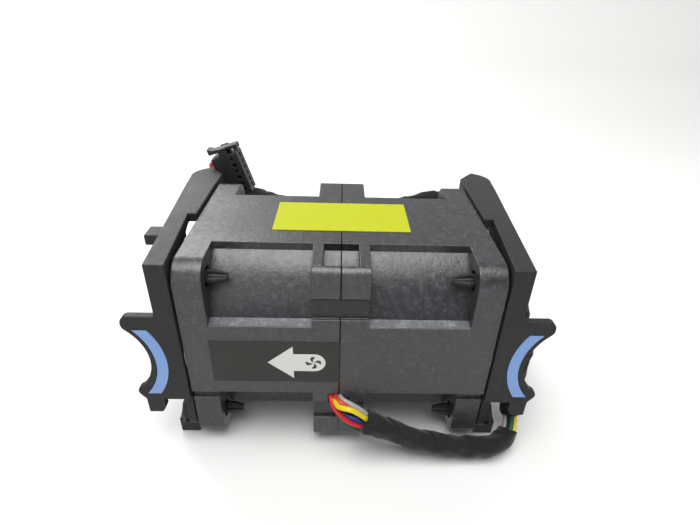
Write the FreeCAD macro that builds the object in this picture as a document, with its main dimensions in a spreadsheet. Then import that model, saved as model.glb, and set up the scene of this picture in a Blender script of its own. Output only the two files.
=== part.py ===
import FreeCAD, Part
import math
import os
import re
import Sketcher
from FreeCAD import Placement, Rotation, Vector

# A 40 mm server fan with two counter-rotating impellers, held between two plastic end
# brackets, with its taped harness and plug. Millimetres and degrees.
# +X points to the air intake, +Y to the back, +Z up. The origin is on the surface that
# the module stands on, under the middle of its brackets. Each body is drawn about the
# fan's own axis: x from the seam between the housing halves, y and z from the shaft.

sizes = {
    # how far a cut runs past its part, and how far a wall runs into its neighbour
    "over_cut": 1, "wall_overlap": 1,
    # housing
    "fan_size": 40, "fan_depth": 56, "corner_round": 4, "flange_thick": 5,
    "bore_radius": 18.6, "barrel_wall": 1.0, "plate_half": 10.7, "panel_top": 8.3,
    "panel_bottom": 7.5, "hole_pitch": 32, "hole_radius": 1.75, "mouth_bevel": 0.6,
    # corner lugs that join the halves at the seam
    "lug_half": 5.0, "lug_web_start": 3.1, "lug_web": 1.6, "lug_bar": 1.7, "lug_round": 1.9,
    "lug_recess": 0.7, "lug_foot": 9.9, "lug_line": 14.3, "line_width": 0.5, "line_deep": 0.4,
    # step under the front and back panels, on the flange
    "block_step": 0.5, "block_groove": 1.1, "groove_top": 7.6, "groove_bottom": 9.4,
    # motor base in each half
    "base_radius": 11.8, "base_thick": 1.6, "rim_height": 3.4, "rim_thick": 0.8,
    "seat_radius": 9.2, "seat_width": 0.8, "seat_height": 0.8,
    "vane_count": 5, "vane_thick": 0.9, "vane_reach": 5.2, "vane_sweep": 2.4,
    "lead_angle": 205.8, "lead_strut": 5.2, "lead_rise": 3.0, "channel_half": 2.05,
    "channel_wide": 2.9, "channel_start": 14.5, "channel_end": 24,
    # rotor
    "hub_radius": 11.0, "hub_wall": 0.8, "hub_open": 4.0, "hub_end": 24.5, "hub_cap": 1.2,
    "hub_bevel": 0.9, "boss_radius": 2.2, "blade_start": 6.6, "blade_end": 24.0,
    "blade_thick": 0.9, "tip_gap": 0.5, "intake_blades": 5, "exhaust_blades": 4,
    "intake_pitch": 34, "exhaust_pitch": 40, "blade_twist": 14, "blade_root": 8.1,
    "trim_reach": 26, "trim_core": 0.1, "trim_past": 3,
    "yoke_wall": 0.6, "yoke_inset": 0.5, "magnet_thick": 1.1, "magnet_start": 6.6,
    "magnet_end": 19.6, "blade_camber": 26,
    # shaft, bearings and their tube
    "shaft_radius": 1.0, "shaft_start": 1.0, "shaft_end": 24.0, "ring_start": 1.7,
    "ring_thick": 0.36, "ring_radius": 1.85, "ring_gap": 1.1, "clip_groove": 0.3,
    "bearing_radius": 2.53, "bearing_wide": 2.3, "bearing_slack": 0.05, "rear_seat": 4.7,
    "race_thick": 0.4, "shield_inset": 0.16,
    "front_seat": 15.9, "seat_slack": 0.02, "tube_wall": 0.45, "tube_start": 0.3,
    "shoulder_radius": 2.1, "tube_past": 0.15, "collar_radius": 3.7, "collar_thick": 0.7,
    "washer_high": 0.55, "washer_thick": 0.25, "washer_radius": 1.9, "fit_slack": 0.05,
    # stator
    "air_gap": 0.4, "stack_start": 8.0, "stack_end": 18.0, "yoke_ring": 1.5,
    "arm_width": 2.2, "shoe_thick": 1.1, "slot_mouth": 1.6, "cover_thick": 0.8,
    "lip_high": 1.0, "lip_thick": 0.6, "coil_thick": 1.0, "coil_reach": 6.35, "arm_cover": 0.1,
    "coil_clear": 0.3, "coil_round": 0.9, "pole_count": 4,
    # circuit board
    "board_radius": 9.7, "board_thick": 0.8, "board_hole": 3.9, "chip_size": 2.6,
    "chip_high": 1.0, "chip_radius": 6.2, "chip_count": 3,
    # labels
    "label_thick": 0.12, "rating_long": 26, "rating_wide": 12.7, "rating_shift": 0.45,
    "flow_long": 23.3, "flow_high": 9.5, "flow_drop": 4.5,
    # brackets
    "bracket_gap": 0.2, "front_reach": 20.5, "rear_reach": 26.5, "top_rise": 20.8,
    "foot_drop": 2.2, "bar_width": 3.5, "flare_angle": 4.8, "step_y": 1.0,
    "bracket_bore": 19.0, "web_thick": 1.8, "rear_web": 2.0, "rim_width": 1.6,
    "rear_shoulder": 7.0, "rear_inner": 4.8, "rear_tip": 3.6, "rear_arc": 6.0,
    "end_slope": 0.5, "slope_start": 15.1, "leg_bottom": 9.2, "boss_round": 3.2,
    "foot_front": 17.0, "foot_inset": 0.8, "foot_width": 3.9, "foot_high": 4.7,
    "rib_thick": 1.4, "rib_y": 20.4, "core_reach": 14,
    # finger tabs, measured out from the middle of the fan
    "tab_thick": 1.5, "tab_top": 10.4, "tab_reach": 37.8, "tab_tip": 8.9,
    "tab_slant": 1.2, "tab_round": 1.6, "cusp_in": 0.4, "cusp_round": 1.2,
    "cusp_fall": 1.2, "notch_rise": 1.4,
    "scoop_top": 7.4, "scoop_bottom": 6.0, "scoop_radius": 9.3, "scoop_in": 0.6,
    "point_in": 0.3, "cusp_low": 7.9, "prong_set": 1.2, "prong_wide": 2.6,
    "prong_low": 12.6, "notch_wide": 0.8, "pad_set": 1.8, "pad_wide": 2.5,
    "pad_top": 7.5, "pad_low": 7.6, "pad_outer_arc": 11.3, "pad_inner_arc": 13.1,
    "pad_deep": 0.8, "pad_slack": 0.05,
    # ear on the left bracket
    "ear_start": 3.2, "ear_long": 3.9, "ear_reach": 36.6, "ear_top": 19.0, "ear_high": 2.1,
    # pins that hold the brackets on
    "pin_head": 2.6, "head_thick": 1.1, "spot_deep": 0.3, "pin_slack": 0.1, "barb_radius": 2.15,
    "barb_long": 3.4, "barb_tip": 1.1, "barb_land": 0.8,
    # plug
    "way_count": 6, "way_pitch": 1.6, "plug_long": 6.6, "plug_wide": 10.4,
    "plug_thick": 5.0, "plug_tilt": 18, "plug_x": -27.2, "plug_z": 18.1,
    "plug_rest": 0.1, "way_size": 1.1, "way_slack": 0.05, "window_at": 1.7,
    "window_radius": 0.45, "window_past": 0.1, "contact_inset": 0.5,
    "ear_root": 0.2, "ear_thick": 0.8, "ear_height": 1.9, "ear_wide": 2.0,
    "latch_long": 7.4, "latch_thick": 0.9, "latch_lift": 0.9, "latch_side": 0.25,
    "hook_high": 0.7, "hook_long": 1.0, "pin_radius": 0.4, "pin_clear": 0.06,
    "grip_high": 0.6, "grip_long": 1.3,
    # harness
    "wire_radius": 0.62, "wire_pitch": 1.32, "sleeve_radius": 2.1, "tail_radius": 0.55,
    "tail_pitch": 1.3, "lead_inner": 14.9, "lead_step": 0.12, "lead_run": 5.5,
    "tail_run": 3.2, "tail_gap": 0.1,
}

os.makedirs("parts", exist_ok=True)
doc = FreeCAD.newDocument("server_fan_module")
dim = doc.addObject("Spreadsheet::Sheet", "dim")
for row, (alias, value) in enumerate(sizes.items(), 1):
    dim.set(f"A{row}", alias)
    dim.set(f"B{row}", str(value))
    dim.setAlias(f"B{row}", alias)
doc.recompute()

# the shaft's place in the module's own frame
axis_y = "(front_reach - rear_reach) / 2"
axis_z = "foot_drop + fan_size / 2"
nodes = []

# lengths closer than this are equal; the share of a run that a cord's arc takes at each end;
# how far a swept wire's volume may be from its length times its section
tiny = 1e-6
arc_share = 0.45
volume_slack = 0.02


def tied(text):
    """An expression on the sheet's cells, from one written with their bare names."""
    return re.sub(r"[a-z]+(?:_[a-z]+)+", r"dim.\g<0>", str(text))


def number(text):
    value = dim.evalExpression(tied(text))
    return float(getattr(value, "Value", value))


def point(x, y, z):
    return Vector(number(x), number(y), number(z))


def seat(item, turned=False):
    """Puts a body on the fan's axis; a turned one belongs to the exhaust motor."""
    item.Placement = Placement(Vector(), Rotation(Vector(0, 0, 1), 180 if turned else 0))
    item.setExpression("Placement.Base.y", tied(axis_y))
    item.setExpression("Placement.Base.z", tied(axis_z))


def new_body(label, turned=False):
    body = doc.addObject("PartDesign::Body", label)
    body.Label = label
    body.AllowCompound = True
    seat(body, turned)
    nodes.append(body)
    return body


def origin_of(body, role):
    return next(f for f in body.Origin.OriginFeatures if f.Role == role)


def sketch_on(body, plane, name, lift=0, turn=0):
    """A sketch on one of the body's own planes, lifted along its normal, then turned."""
    item = body.newObject("Sketcher::SketchObject", f"{body.Name}_{name}")
    item.AttachmentSupport = (origin_of(body, plane), "")
    item.MapMode = "FlatFace"
    item.AttachmentOffset = Placement(Vector(), Rotation(Vector(0, 0, 1), number(turn)))
    item.setExpression("AttachmentOffset.Base.z", tied(lift))
    if turn:
        item.setExpression("AttachmentOffset.Rotation.Angle", tied(turn))
    return item


def bind(item, kind, text, *ends):
    index = item.addConstraint(Sketcher.Constraint(kind, *ends, number(text)))
    item.setExpression(f"Constraints[{index}]", tied(text))


def hold(item, edge, end, x, y):
    """Fixes one end of a sketch edge at a place given by two expressions."""
    bind(item, "DistanceX", x, -1, 1, edge, end)
    bind(item, "DistanceY", y, -1, 1, edge, end)


def disc(item, x, y, radius):
    circle = Part.Circle(point(x, y, 0), Vector(0, 0, 1), number(radius))
    edge = item.addGeometry(circle)
    hold(item, edge, 3, x, y)
    bind(item, "Radius", radius, edge)


def outline(item, corners):
    """A closed outline. A corner with a third value starts an arc of that radius to the
    next corner, which bulges to the left of the way there, or to the right if negative."""
    places = [point(c[0], c[1], 0) for c in corners]
    joints = []
    for k, corner in enumerate(corners):
        start, end = places[k], places[(k + 1) % len(places)]
        if len(corner) == 2:
            edge = item.addGeometry(Part.LineSegment(start, end))
            joints.append((edge, 1, 2))
        else:
            radius = number(corner[2])
            chord = end.sub(start)
            left = Vector(-chord.y, chord.x, 0).normalize()
            bulge = abs(radius) - math.sqrt(radius**2 - (chord.Length / 2) ** 2)
            middle = (start + end) * 0.5 + left * math.copysign(bulge, radius)
            edge = item.addGeometry(Part.Arc(start, middle, end))
            first = item.getPoint(edge, 1).distanceToPoint(start) < tiny
            joints.append((edge, 1, 2) if first else (edge, 2, 1))
            bind(item, "Radius", f"abs({corner[2]})", edge)
        hold(item, joints[-1][0], joints[-1][1], corner[0], corner[1])
    for k, (edge, _, end) in enumerate(joints):
        after, begin, _ = joints[(k + 1) % len(joints)]
        item.addConstraint(Sketcher.Constraint("Coincident", edge, end, after, begin))


def box_outline(item, x0, y0, x1, y1):
    outline(item, [(x0, y0), (x1, y0), (x1, y1), (x0, y1)])


def pad(body, item, length, back=False):
    feature = body.newObject("PartDesign::Pad", f"{item.Name}_pad")
    feature.Profile = item
    feature.setExpression("Length", tied(length))
    feature.Reversed = back
    return feature


def pocket(body, item, depth, along=True):
    """Cuts from the sketch, along its normal unless told otherwise."""
    feature = body.newObject("PartDesign::Pocket", f"{item.Name}_cut")
    feature.Profile = item
    feature.setExpression("Length", tied(depth))
    feature.Reversed = along
    return feature


def turned_about_x(body, item, cut=False):
    kind = "PartDesign::Groove" if cut else "PartDesign::Revolution"
    feature = body.newObject(kind, f"{item.Name}_turned")
    feature.Profile = item
    feature.ReferenceAxis = (origin_of(body, "X_Axis"), [""])
    feature.Angle = 360
    return feature


def around_x(body, features, count):
    doc.recompute()
    pattern = body.newObject("PartDesign::PolarPattern", f"{features[0].Name}_ring")
    pattern.Originals = features
    pattern.Axis = (origin_of(body, "X_Axis"), [""])
    pattern.Angle = 360
    pattern.setExpression("Occurrences", tied(count))
    body.Tip = pattern
    doc.recompute()
    return pattern


def soften(body, name, size, wanted, kind="PartDesign::Fillet"):
    """Rounds or bevels the edges of the body so far that a test on the edge picks."""
    doc.recompute()
    base = body.Tip
    picked = [f"Edge{k}" for k, e in enumerate(base.Shape.Edges, 1) if wanted(e)]
    feature = body.newObject(kind, f"{body.Name}_{name}")
    feature.Base = (base, picked)
    feature.setExpression("Radius" if kind.endswith("Fillet") else "Size", tied(size))
    doc.recompute()
    return feature


def middle_of(edge):
    return edge.valueAt((edge.FirstParameter + edge.LastParameter) / 2)


def runs_along(edge, axis):
    """True for a straight edge along that axis, 0 for x, 1 for y and 2 for z."""
    if not isinstance(edge.Curve, Part.Line):
        return False
    return abs(abs(edge.Curve.Direction[axis]) - 1) < tiny


def mirrored(source, label):
    """The same piece, mirrored in the seam between the housing halves."""
    item = doc.addObject("Part::Mirroring", label)
    item.Label = label
    item.Source = source
    item.Base = Vector()
    item.Normal = Vector(1, 0, 0)
    nodes.append(item)
    return item


def make_housing():
    body = new_body("intake_housing")
    half = "fan_size / 2"
    inner = "fan_depth / 2 - flange_thick"

    flange = sketch_on(body, "YZ_Plane", "flange", inner)
    box_outline(flange, f"-{half}", f"-{half}", half, half)
    pad(body, flange, "flange_thick")
    barrel = sketch_on(body, "YZ_Plane", "barrel")
    disc(barrel, 0, 0, "bore_radius + barrel_wall")
    pad(body, barrel, inner)
    plates = sketch_on(body, "YZ_Plane", "plates")
    box_outline(plates, "-plate_half", f"-{half}", "plate_half", half)
    pad(body, plates, inner)
    panels = sketch_on(body, "YZ_Plane", "panels")
    box_outline(panels, f"-{half}", "-panel_bottom", half, "panel_top")
    pad(body, panels, inner)

    # corner lugs: a bar round each corner at the seam, and a web behind it
    bars = sketch_on(body, "YZ_Plane", "bars")
    box_outline(bars, f"-{half}", f"-{half}", half, half)
    hollow = f"({half} - lug_bar)"
    box_outline(bars, f"-{hollow}", f"-{hollow}", hollow, hollow)
    pad(body, bars, "lug_half")
    web = sketch_on(body, "YZ_Plane", "web", "lug_web_start")
    box_outline(web, f"-{half}", f"-{half}", half, half)
    pad(body, web, "lug_web")
    corner, flange_start = number(half), number(inner)
    for name, rounding, on_flange in (("corners", "corner_round", True),
                                      ("lug_corners", "lug_round", False)):
        soften(body, name, rounding, lambda e: runs_along(e, 0)
               and (middle_of(e).x > flange_start) == on_flange
               and abs(abs(middle_of(e).y) - corner) < tiny
               and abs(abs(middle_of(e).z) - corner) < tiny)
    windows = sketch_on(body, "YZ_Plane", "windows")
    for side, up in (("-", ""), ("-", "-"), ("", "-")):
        box_outline(windows, f"{side}plate_half", f"{up}({hollow} - wall_overlap)",
                    f"{side}({hollow})", f"{up}({half} + over_cut)")
    pocket(body, windows, "lug_web_start")
    back_lug = sketch_on(body, "YZ_Plane", "back_lug")
    box_outline(back_lug, "plate_half - wall_overlap", hollow,
                f"{half} - lug_round", half)
    pad(body, back_lug, "lug_web_start + lug_web")
    recess = sketch_on(body, "YZ_Plane", "recess")
    for side in ("", "-"):
        for up in ("", "-"):
            box_outline(recess, f"{side}({half} - lug_recess)", f"{up}lug_foot",
                        f"{side}({half} + over_cut)", f"{up}lug_line")
    pocket(body, recess, "lug_half + over_cut")
    line = sketch_on(body, "YZ_Plane", "line")
    for side in ("", "-"):
        for up in ("", "-"):
            box_outline(line, f"{side}({half} - lug_recess - line_deep)",
                        f"{up}(lug_line - line_width)", f"{side}({half} + over_cut)", f"{up}lug_line")
    pocket(body, line, "lug_half + over_cut")

    # the flange's lower corners: a groove under the panel, and a block set back below it
    step = sketch_on(body, "YZ_Plane", "step", inner)
    for side in ("", "-"):
        outline(step, [
            (f"{side}({half} - block_step)", f"-({half} + over_cut)"),
            (f"{side}({half} + over_cut)", f"-({half} + over_cut)"),
            (f"{side}({half} + over_cut)", "-groove_top"),
            (f"{side}({half} - block_groove)", "-groove_top"),
            (f"{side}({half} - block_groove)", "-groove_bottom"),
            (f"{side}({half} - block_step)", "-groove_bottom")])
    pocket(body, step, "flange_thick + over_cut")

    bore = sketch_on(body, "YZ_Plane", "bore")
    disc(bore, 0, 0, "bore_radius")
    pocket(body, bore, "fan_depth / 2 + over_cut")
    holes = sketch_on(body, "YZ_Plane", "holes", inner)
    for side in ("", "-"):
        for up in ("", "-"):
            disc(holes, f"{side}hole_pitch / 2", f"{up}hole_pitch / 2", "hole_radius")
    pocket(body, holes, "flange_thick + over_cut")
    mouth = number("fan_depth / 2")
    bore_radius = number("bore_radius")
    soften(body, "mouth", "mouth_bevel", lambda e: isinstance(e.Curve, Part.Circle)
           and abs(e.Curve.Radius - bore_radius) < tiny
           and abs(e.Curve.Center.x - mouth) < tiny, "PartDesign::Chamfer")

    # motor base: disc, rim, board seat, stator vanes and the strut that carries the leads
    base = sketch_on(body, "YZ_Plane", "base")
    disc(base, 0, 0, "base_radius")
    pad(body, base, "base_thick")
    rim = sketch_on(body, "YZ_Plane", "rim")
    disc(rim, 0, 0, "base_radius")
    disc(rim, 0, 0, "base_radius - rim_thick")
    pad(body, rim, "rim_height")
    board_seat = sketch_on(body, "YZ_Plane", "board_seat")
    disc(board_seat, 0, 0, "seat_radius")
    disc(board_seat, 0, 0, "seat_radius - seat_width")
    pad(body, board_seat, "base_thick + seat_height")
    strut = sketch_on(body, "YZ_Plane", "strut", turn="lead_angle")
    box_outline(strut, "base_radius - rim_thick", "-lead_strut / 2",
                "bore_radius + barrel_wall / 2", "lead_strut / 2")
    pad(body, strut, "lead_rise")
    vane = sketch_on(body, "XY_Plane", "vane", "base_radius - rim_thick / 2")
    outline(vane, [(0, "-vane_thick / 2"), ("vane_reach", "vane_sweep - vane_thick / 2"),
                   ("vane_reach", "vane_sweep + vane_thick / 2"), (0, "vane_thick / 2")])
    vane_pad = pad(body, vane,
                   "bore_radius + barrel_wall / 2 - base_radius + rim_thick / 2")
    around_x(body, [vane_pad], "vane_count")
    hole = sketch_on(body, "YZ_Plane", "hole")
    disc(hole, 0, 0, "bearing_radius + seat_slack + tube_wall + fit_slack")
    pocket(body, hole, "base_thick + over_cut")
    channel = sketch_on(body, "YZ_Plane", "channel", turn="lead_angle")
    box_outline(channel, "channel_start", "-channel_wide / 2",
                "channel_end", "channel_wide / 2")
    pocket(body, channel, "channel_half")
    return body


# where the pins' heads sit on the bracket's web, which slants at the front
front_floor = ("fan_depth / 2 + bracket_gap + web_thick - spot_deep"
               " + (front_reach - hole_pitch / 2) * tan(flare_angle)")
rear_floor = "fan_depth / 2 + bracket_gap + rear_web - spot_deep"


def make_bracket():
    body = new_body("right_bracket")
    near = "fan_depth / 2 + bracket_gap"
    slope = "tan(flare_angle)"
    front_out = f"{near} + bar_width"
    lug_y = "(rear_reach - rear_shoulder)"
    lug_x = f"{front_out} + (front_reach + {lug_y}) * {slope}"
    step_x = f"{near} + (front_reach - step_y) * {slope}"
    plan = [(near, "-front_reach"), (front_out, "-front_reach"), (lug_x, lug_y, "-rear_arc"),
            (f"{near} + rear_tip", "rear_reach"), (near, "rear_reach - rear_inner"),
            (near, "-step_y"), (step_x, "-step_y")]

    plate = sketch_on(body, "XY_Plane", "plate", "-fan_size / 2")
    outline(plate, plan)
    pad(body, plate, "fan_size / 2 + top_rise")

    # the outer side is cored out to a web between the rims
    foot_top = "-fan_size / 2 + foot_high - foot_drop"
    core_high = "fan_size / 2 + top_rise - rim_width - foot_high + foot_drop"
    floor_front = f"{near} + web_thick"
    core = sketch_on(body, "XY_Plane", "core", foot_top)
    outline(core, [
        (f"{floor_front} + rim_width * {slope}", "-front_reach + rim_width"),
        (f"{floor_front} + (front_reach - step_y + web_thick) * {slope}",
         "-step_y + web_thick"),
        (f"{near} + rear_web", "-step_y + web_thick"),
        (f"{near} + rear_web", "rib_y - rib_thick / 2"),
        (f"{near} + core_reach", "rib_y - rib_thick / 2"),
        (f"{near} + core_reach", "-front_reach + rim_width")])
    pocket(body, core, core_high)
    rear = sketch_on(body, "XY_Plane", "rear", foot_top)
    box_outline(rear, f"{near} + rear_web", "rib_y + rib_thick / 2",
                f"{near} + core_reach", "rear_reach - rear_inner / 2")
    pocket(body, rear, core_high)

    # below the front leg only the web goes on, round the lower pin
    low_front = sketch_on(body, "XY_Plane", "low_front", foot_top)
    box_outline(low_front, floor_front, "-front_reach - over_cut",
                f"{near} + core_reach", "-hole_pitch / 2 + boss_round")
    pocket(body, low_front, "fan_size / 2 - leg_bottom - foot_high + foot_drop")
    corner = sketch_on(body, "YZ_Plane", "corner", near + " - over_cut")
    edge = "(hole_pitch / 2 + boss_round)"
    outline(corner, [
        ("-front_reach - over_cut", "-leg_bottom"),
        ("-front_reach - over_cut", "-fan_size / 2 - over_cut"),
        ("-hole_pitch / 2", "-fan_size / 2 - over_cut"),
        ("-hole_pitch / 2", f"-{edge}", "boss_round"),
        (f"-{edge}", "-hole_pitch / 2"), (f"-{edge}", "-leg_bottom")])
    pocket(body, corner, "core_reach")

    # foot rail along the bottom
    rail = sketch_on(body, "XY_Plane", "rail", "-fan_size / 2 - foot_drop")
    outline(rail, [
        (f"{near} + foot_inset", "-foot_front"),
        (f"{near} + foot_inset + foot_width", "-foot_front"),
        (lug_x, lug_y, "-rear_arc"), (f"{near} + rear_tip", "rear_reach"),
        (near, "rear_reach - rear_inner"), (near, "-step_y"),
        (f"{near} + foot_inset", "-step_y")])
    pad(body, rail, "foot_high")

    # airflow opening, pin holes with flat seats, and the top's fall towards its rear end
    bore = sketch_on(body, "YZ_Plane", "bore", near + " - over_cut")
    disc(bore, 0, 0, "bracket_bore")
    pocket(body, bore, "core_reach")
    holes = sketch_on(body, "YZ_Plane", "holes", near + " - over_cut")
    for side in ("", "-"):
        for up in ("", "-"):
            disc(holes, f"{side}hole_pitch / 2", f"{up}hole_pitch / 2", "hole_radius")
    pocket(body, holes, "bar_width + over_cut")
    for side, name, floor in (("-", "front", front_floor), ("", "rear", rear_floor)):
        seats = sketch_on(body, "YZ_Plane", name + "_seats", floor)
        for up in ("", "-"):
            disc(seats, f"{side}hole_pitch / 2", f"{up}hole_pitch / 2", "pin_head + pin_slack")
        pocket(body, seats, "core_reach")
    fall = sketch_on(body, "YZ_Plane", "fall", near + " - over_cut")
    outline(fall, [("slope_start", "top_rise"),
                   ("rear_reach + over_cut", "top_rise - end_slope"),
                   ("rear_reach + over_cut", "top_rise + over_cut"),
                   ("slope_start", "top_rise + over_cut")])
    pocket(body, fall, "core_reach")

    # the front finger tab, with its scoop, flush with the leg
    tab = sketch_on(body, "XZ_Plane", "tab", "front_reach")
    prong_out, prong_in = "tab_reach - prong_set", "tab_reach - prong_set - prong_wide"
    outline(tab, [
        (f"{near} + bar_width / 2", "tab_top"), ("tab_reach - tab_slant", "tab_top", "tab_round"),
        ("tab_reach", "tab_tip", "tab_round"), ("tab_reach - scoop_in", "scoop_top", "-scoop_radius"),
        ("tab_reach - scoop_in - cusp_in", "-scoop_bottom", "cusp_round"),
        ("tab_reach - point_in", "-cusp_low"),
        (prong_out, "-cusp_low - cusp_fall"), (prong_out, "-prong_low"),
        (prong_in, "-prong_low"), (f"{prong_in} - notch_wide", "-prong_low + notch_rise"),
        (f"{prong_in} - notch_wide", "-leg_bottom"),
        (f"{near} + bar_width / 2", "-leg_bottom")])
    pad(body, tab, "tab_thick", back=True)
    inlay = sketch_on(body, "XZ_Plane", "inlay", "front_reach")
    outline(inlay, pad_outline("pad_slack"))
    pocket(body, inlay, "pad_deep", along=False)
    return body


def pad_outline(grow):
    """The finger pad's crescent: two arcs that follow the scoop, between flat ends. A
    grown outline keeps the arcs' centres."""
    half = "(pad_top + pad_low) / 2"

    def arc_end(foot, radius, change):
        return (f"{foot} + sqrt({radius}^2 - ({half})^2)"
                f" - sqrt(({radius} + {change})^2 - ({half} + {grow})^2)")

    outer = arc_end("tab_reach - pad_set", "pad_outer_arc", f"-{grow}")
    inner = arc_end("tab_reach - pad_set - pad_wide", "pad_inner_arc", grow)
    return [(inner, f"pad_top + {grow}"),
            (outer, f"pad_top + {grow}", f"-(pad_outer_arc - {grow})"),
            (outer, f"-pad_low - {grow}"),
            (inner, f"-pad_low - {grow}", f"(pad_inner_arc + {grow})")]


def make_touch_pad():
    body = new_body("right_touch_pad")
    crescent = sketch_on(body, "XZ_Plane", "crescent", "front_reach - pad_deep")
    outline(crescent, pad_outline("0"))
    pad(body, crescent, "pad_deep")
    return body


def make_pins():
    """Four pins in one group: a head on the bracket, a neck and a barb."""
    body = new_body("right_mount_pins")
    flange = "fan_depth / 2 - flange_thick - pin_slack"
    for side, name, floor in (("-", "front", front_floor), ("", "rear", rear_floor)):
        heads = sketch_on(body, "YZ_Plane", name + "_heads", floor + " + pin_slack")
        necks = sketch_on(body, "YZ_Plane", name + "_necks", flange)
        lands = sketch_on(body, "YZ_Plane", name + "_lands", flange)
        points = sketch_on(body, "YZ_Plane", name + "_points", flange + " - barb_land")
        for up in ("", "-"):
            place = (f"{side}hole_pitch / 2", f"{up}hole_pitch / 2")
            disc(heads, *place, "pin_head")
            disc(necks, *place, "hole_radius - pin_slack")
            disc(lands, *place, "barb_radius")
            disc(points, *place, "barb_radius")
        pad(body, heads, "head_thick")
        pad(body, necks, f"{floor} + pin_slack - ({flange})")
        pad(body, lands, "barb_land", back=True)
        tip = pad(body, points, "barb_long - barb_land", back=True)
        tip.setExpression("TaperAngle", tied(
            "-atan((barb_radius - barb_tip) / (barb_long - barb_land))"))
    return body


def new_box(label, long, wide, high, x, y, z):
    item = doc.addObject("Part::Box", label)
    item.Label = label
    for name, text in (("Length", long), ("Width", wide), ("Height", high),
                       ("Placement.Base.x", x), ("Placement.Base.y", f"{axis_y} + {y}"),
                       ("Placement.Base.z", f"{axis_z} + {z}")):
        item.setExpression(name, tied(text))
    return item


def make_labels():
    nodes.append(new_box("rating_label", "rating_long", "rating_wide", "label_thick",
                         "-rating_long / 2", "rating_shift - rating_wide / 2",
                         "fan_size / 2"))
    nodes.append(new_box("airflow_label", "flow_long", "label_thick", "flow_high",
                         "-flow_long", "-fan_size / 2 - label_thick", "-flow_drop"))


boss_start = "front_seat + bearing_wide + washer_high + fit_slack"
tube_bore = "bearing_radius + seat_slack"
tube_out = f"({tube_bore} + tube_wall)"
tube_end = "front_seat + bearing_wide + tube_past"
yoke_out = "(hub_radius - hub_wall - fit_slack)"
magnet_out = f"({yoke_out} - yoke_wall - fit_slack)"
stack_out = f"({magnet_out} - magnet_thick - air_gap)"


def make_tube(side, turned):
    body = new_body(side + "_bearing_tube", turned)
    profile = sketch_on(body, "XY_Plane", "profile")
    outline(profile, [
        ("tube_start", tube_bore), ("rear_seat", tube_bore), ("rear_seat", "shoulder_radius"),
        ("front_seat", "shoulder_radius"), ("front_seat", tube_bore), (tube_end, tube_bore),
        (tube_end, tube_out), ("base_thick + collar_thick", tube_out),
        ("base_thick + collar_thick", "collar_radius"), ("base_thick", "collar_radius"),
        ("base_thick", tube_out), ("tube_start", tube_out)])
    turned_about_x(body, profile)


def make_bearing(label, start, turned):
    """A shielded ball bearing as one solid, with its shields let into both faces."""
    body = new_body(label, turned)
    bore = "shaft_radius + bearing_slack"
    profile = sketch_on(body, "XY_Plane", "profile")
    end = f"{start} + bearing_wide"
    inner, outer = f"{bore} + race_thick", "bearing_radius - race_thick"
    outline(profile, [
        (start, bore), (start, inner), (f"{start} + shield_inset", inner),
        (f"{start} + shield_inset", outer), (start, outer), (start, "bearing_radius"),
        (end, "bearing_radius"), (end, outer), (f"{end} - shield_inset", outer),
        (f"{end} - shield_inset", inner), (end, inner), (end, bore)])
    turned_about_x(body, profile)


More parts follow.
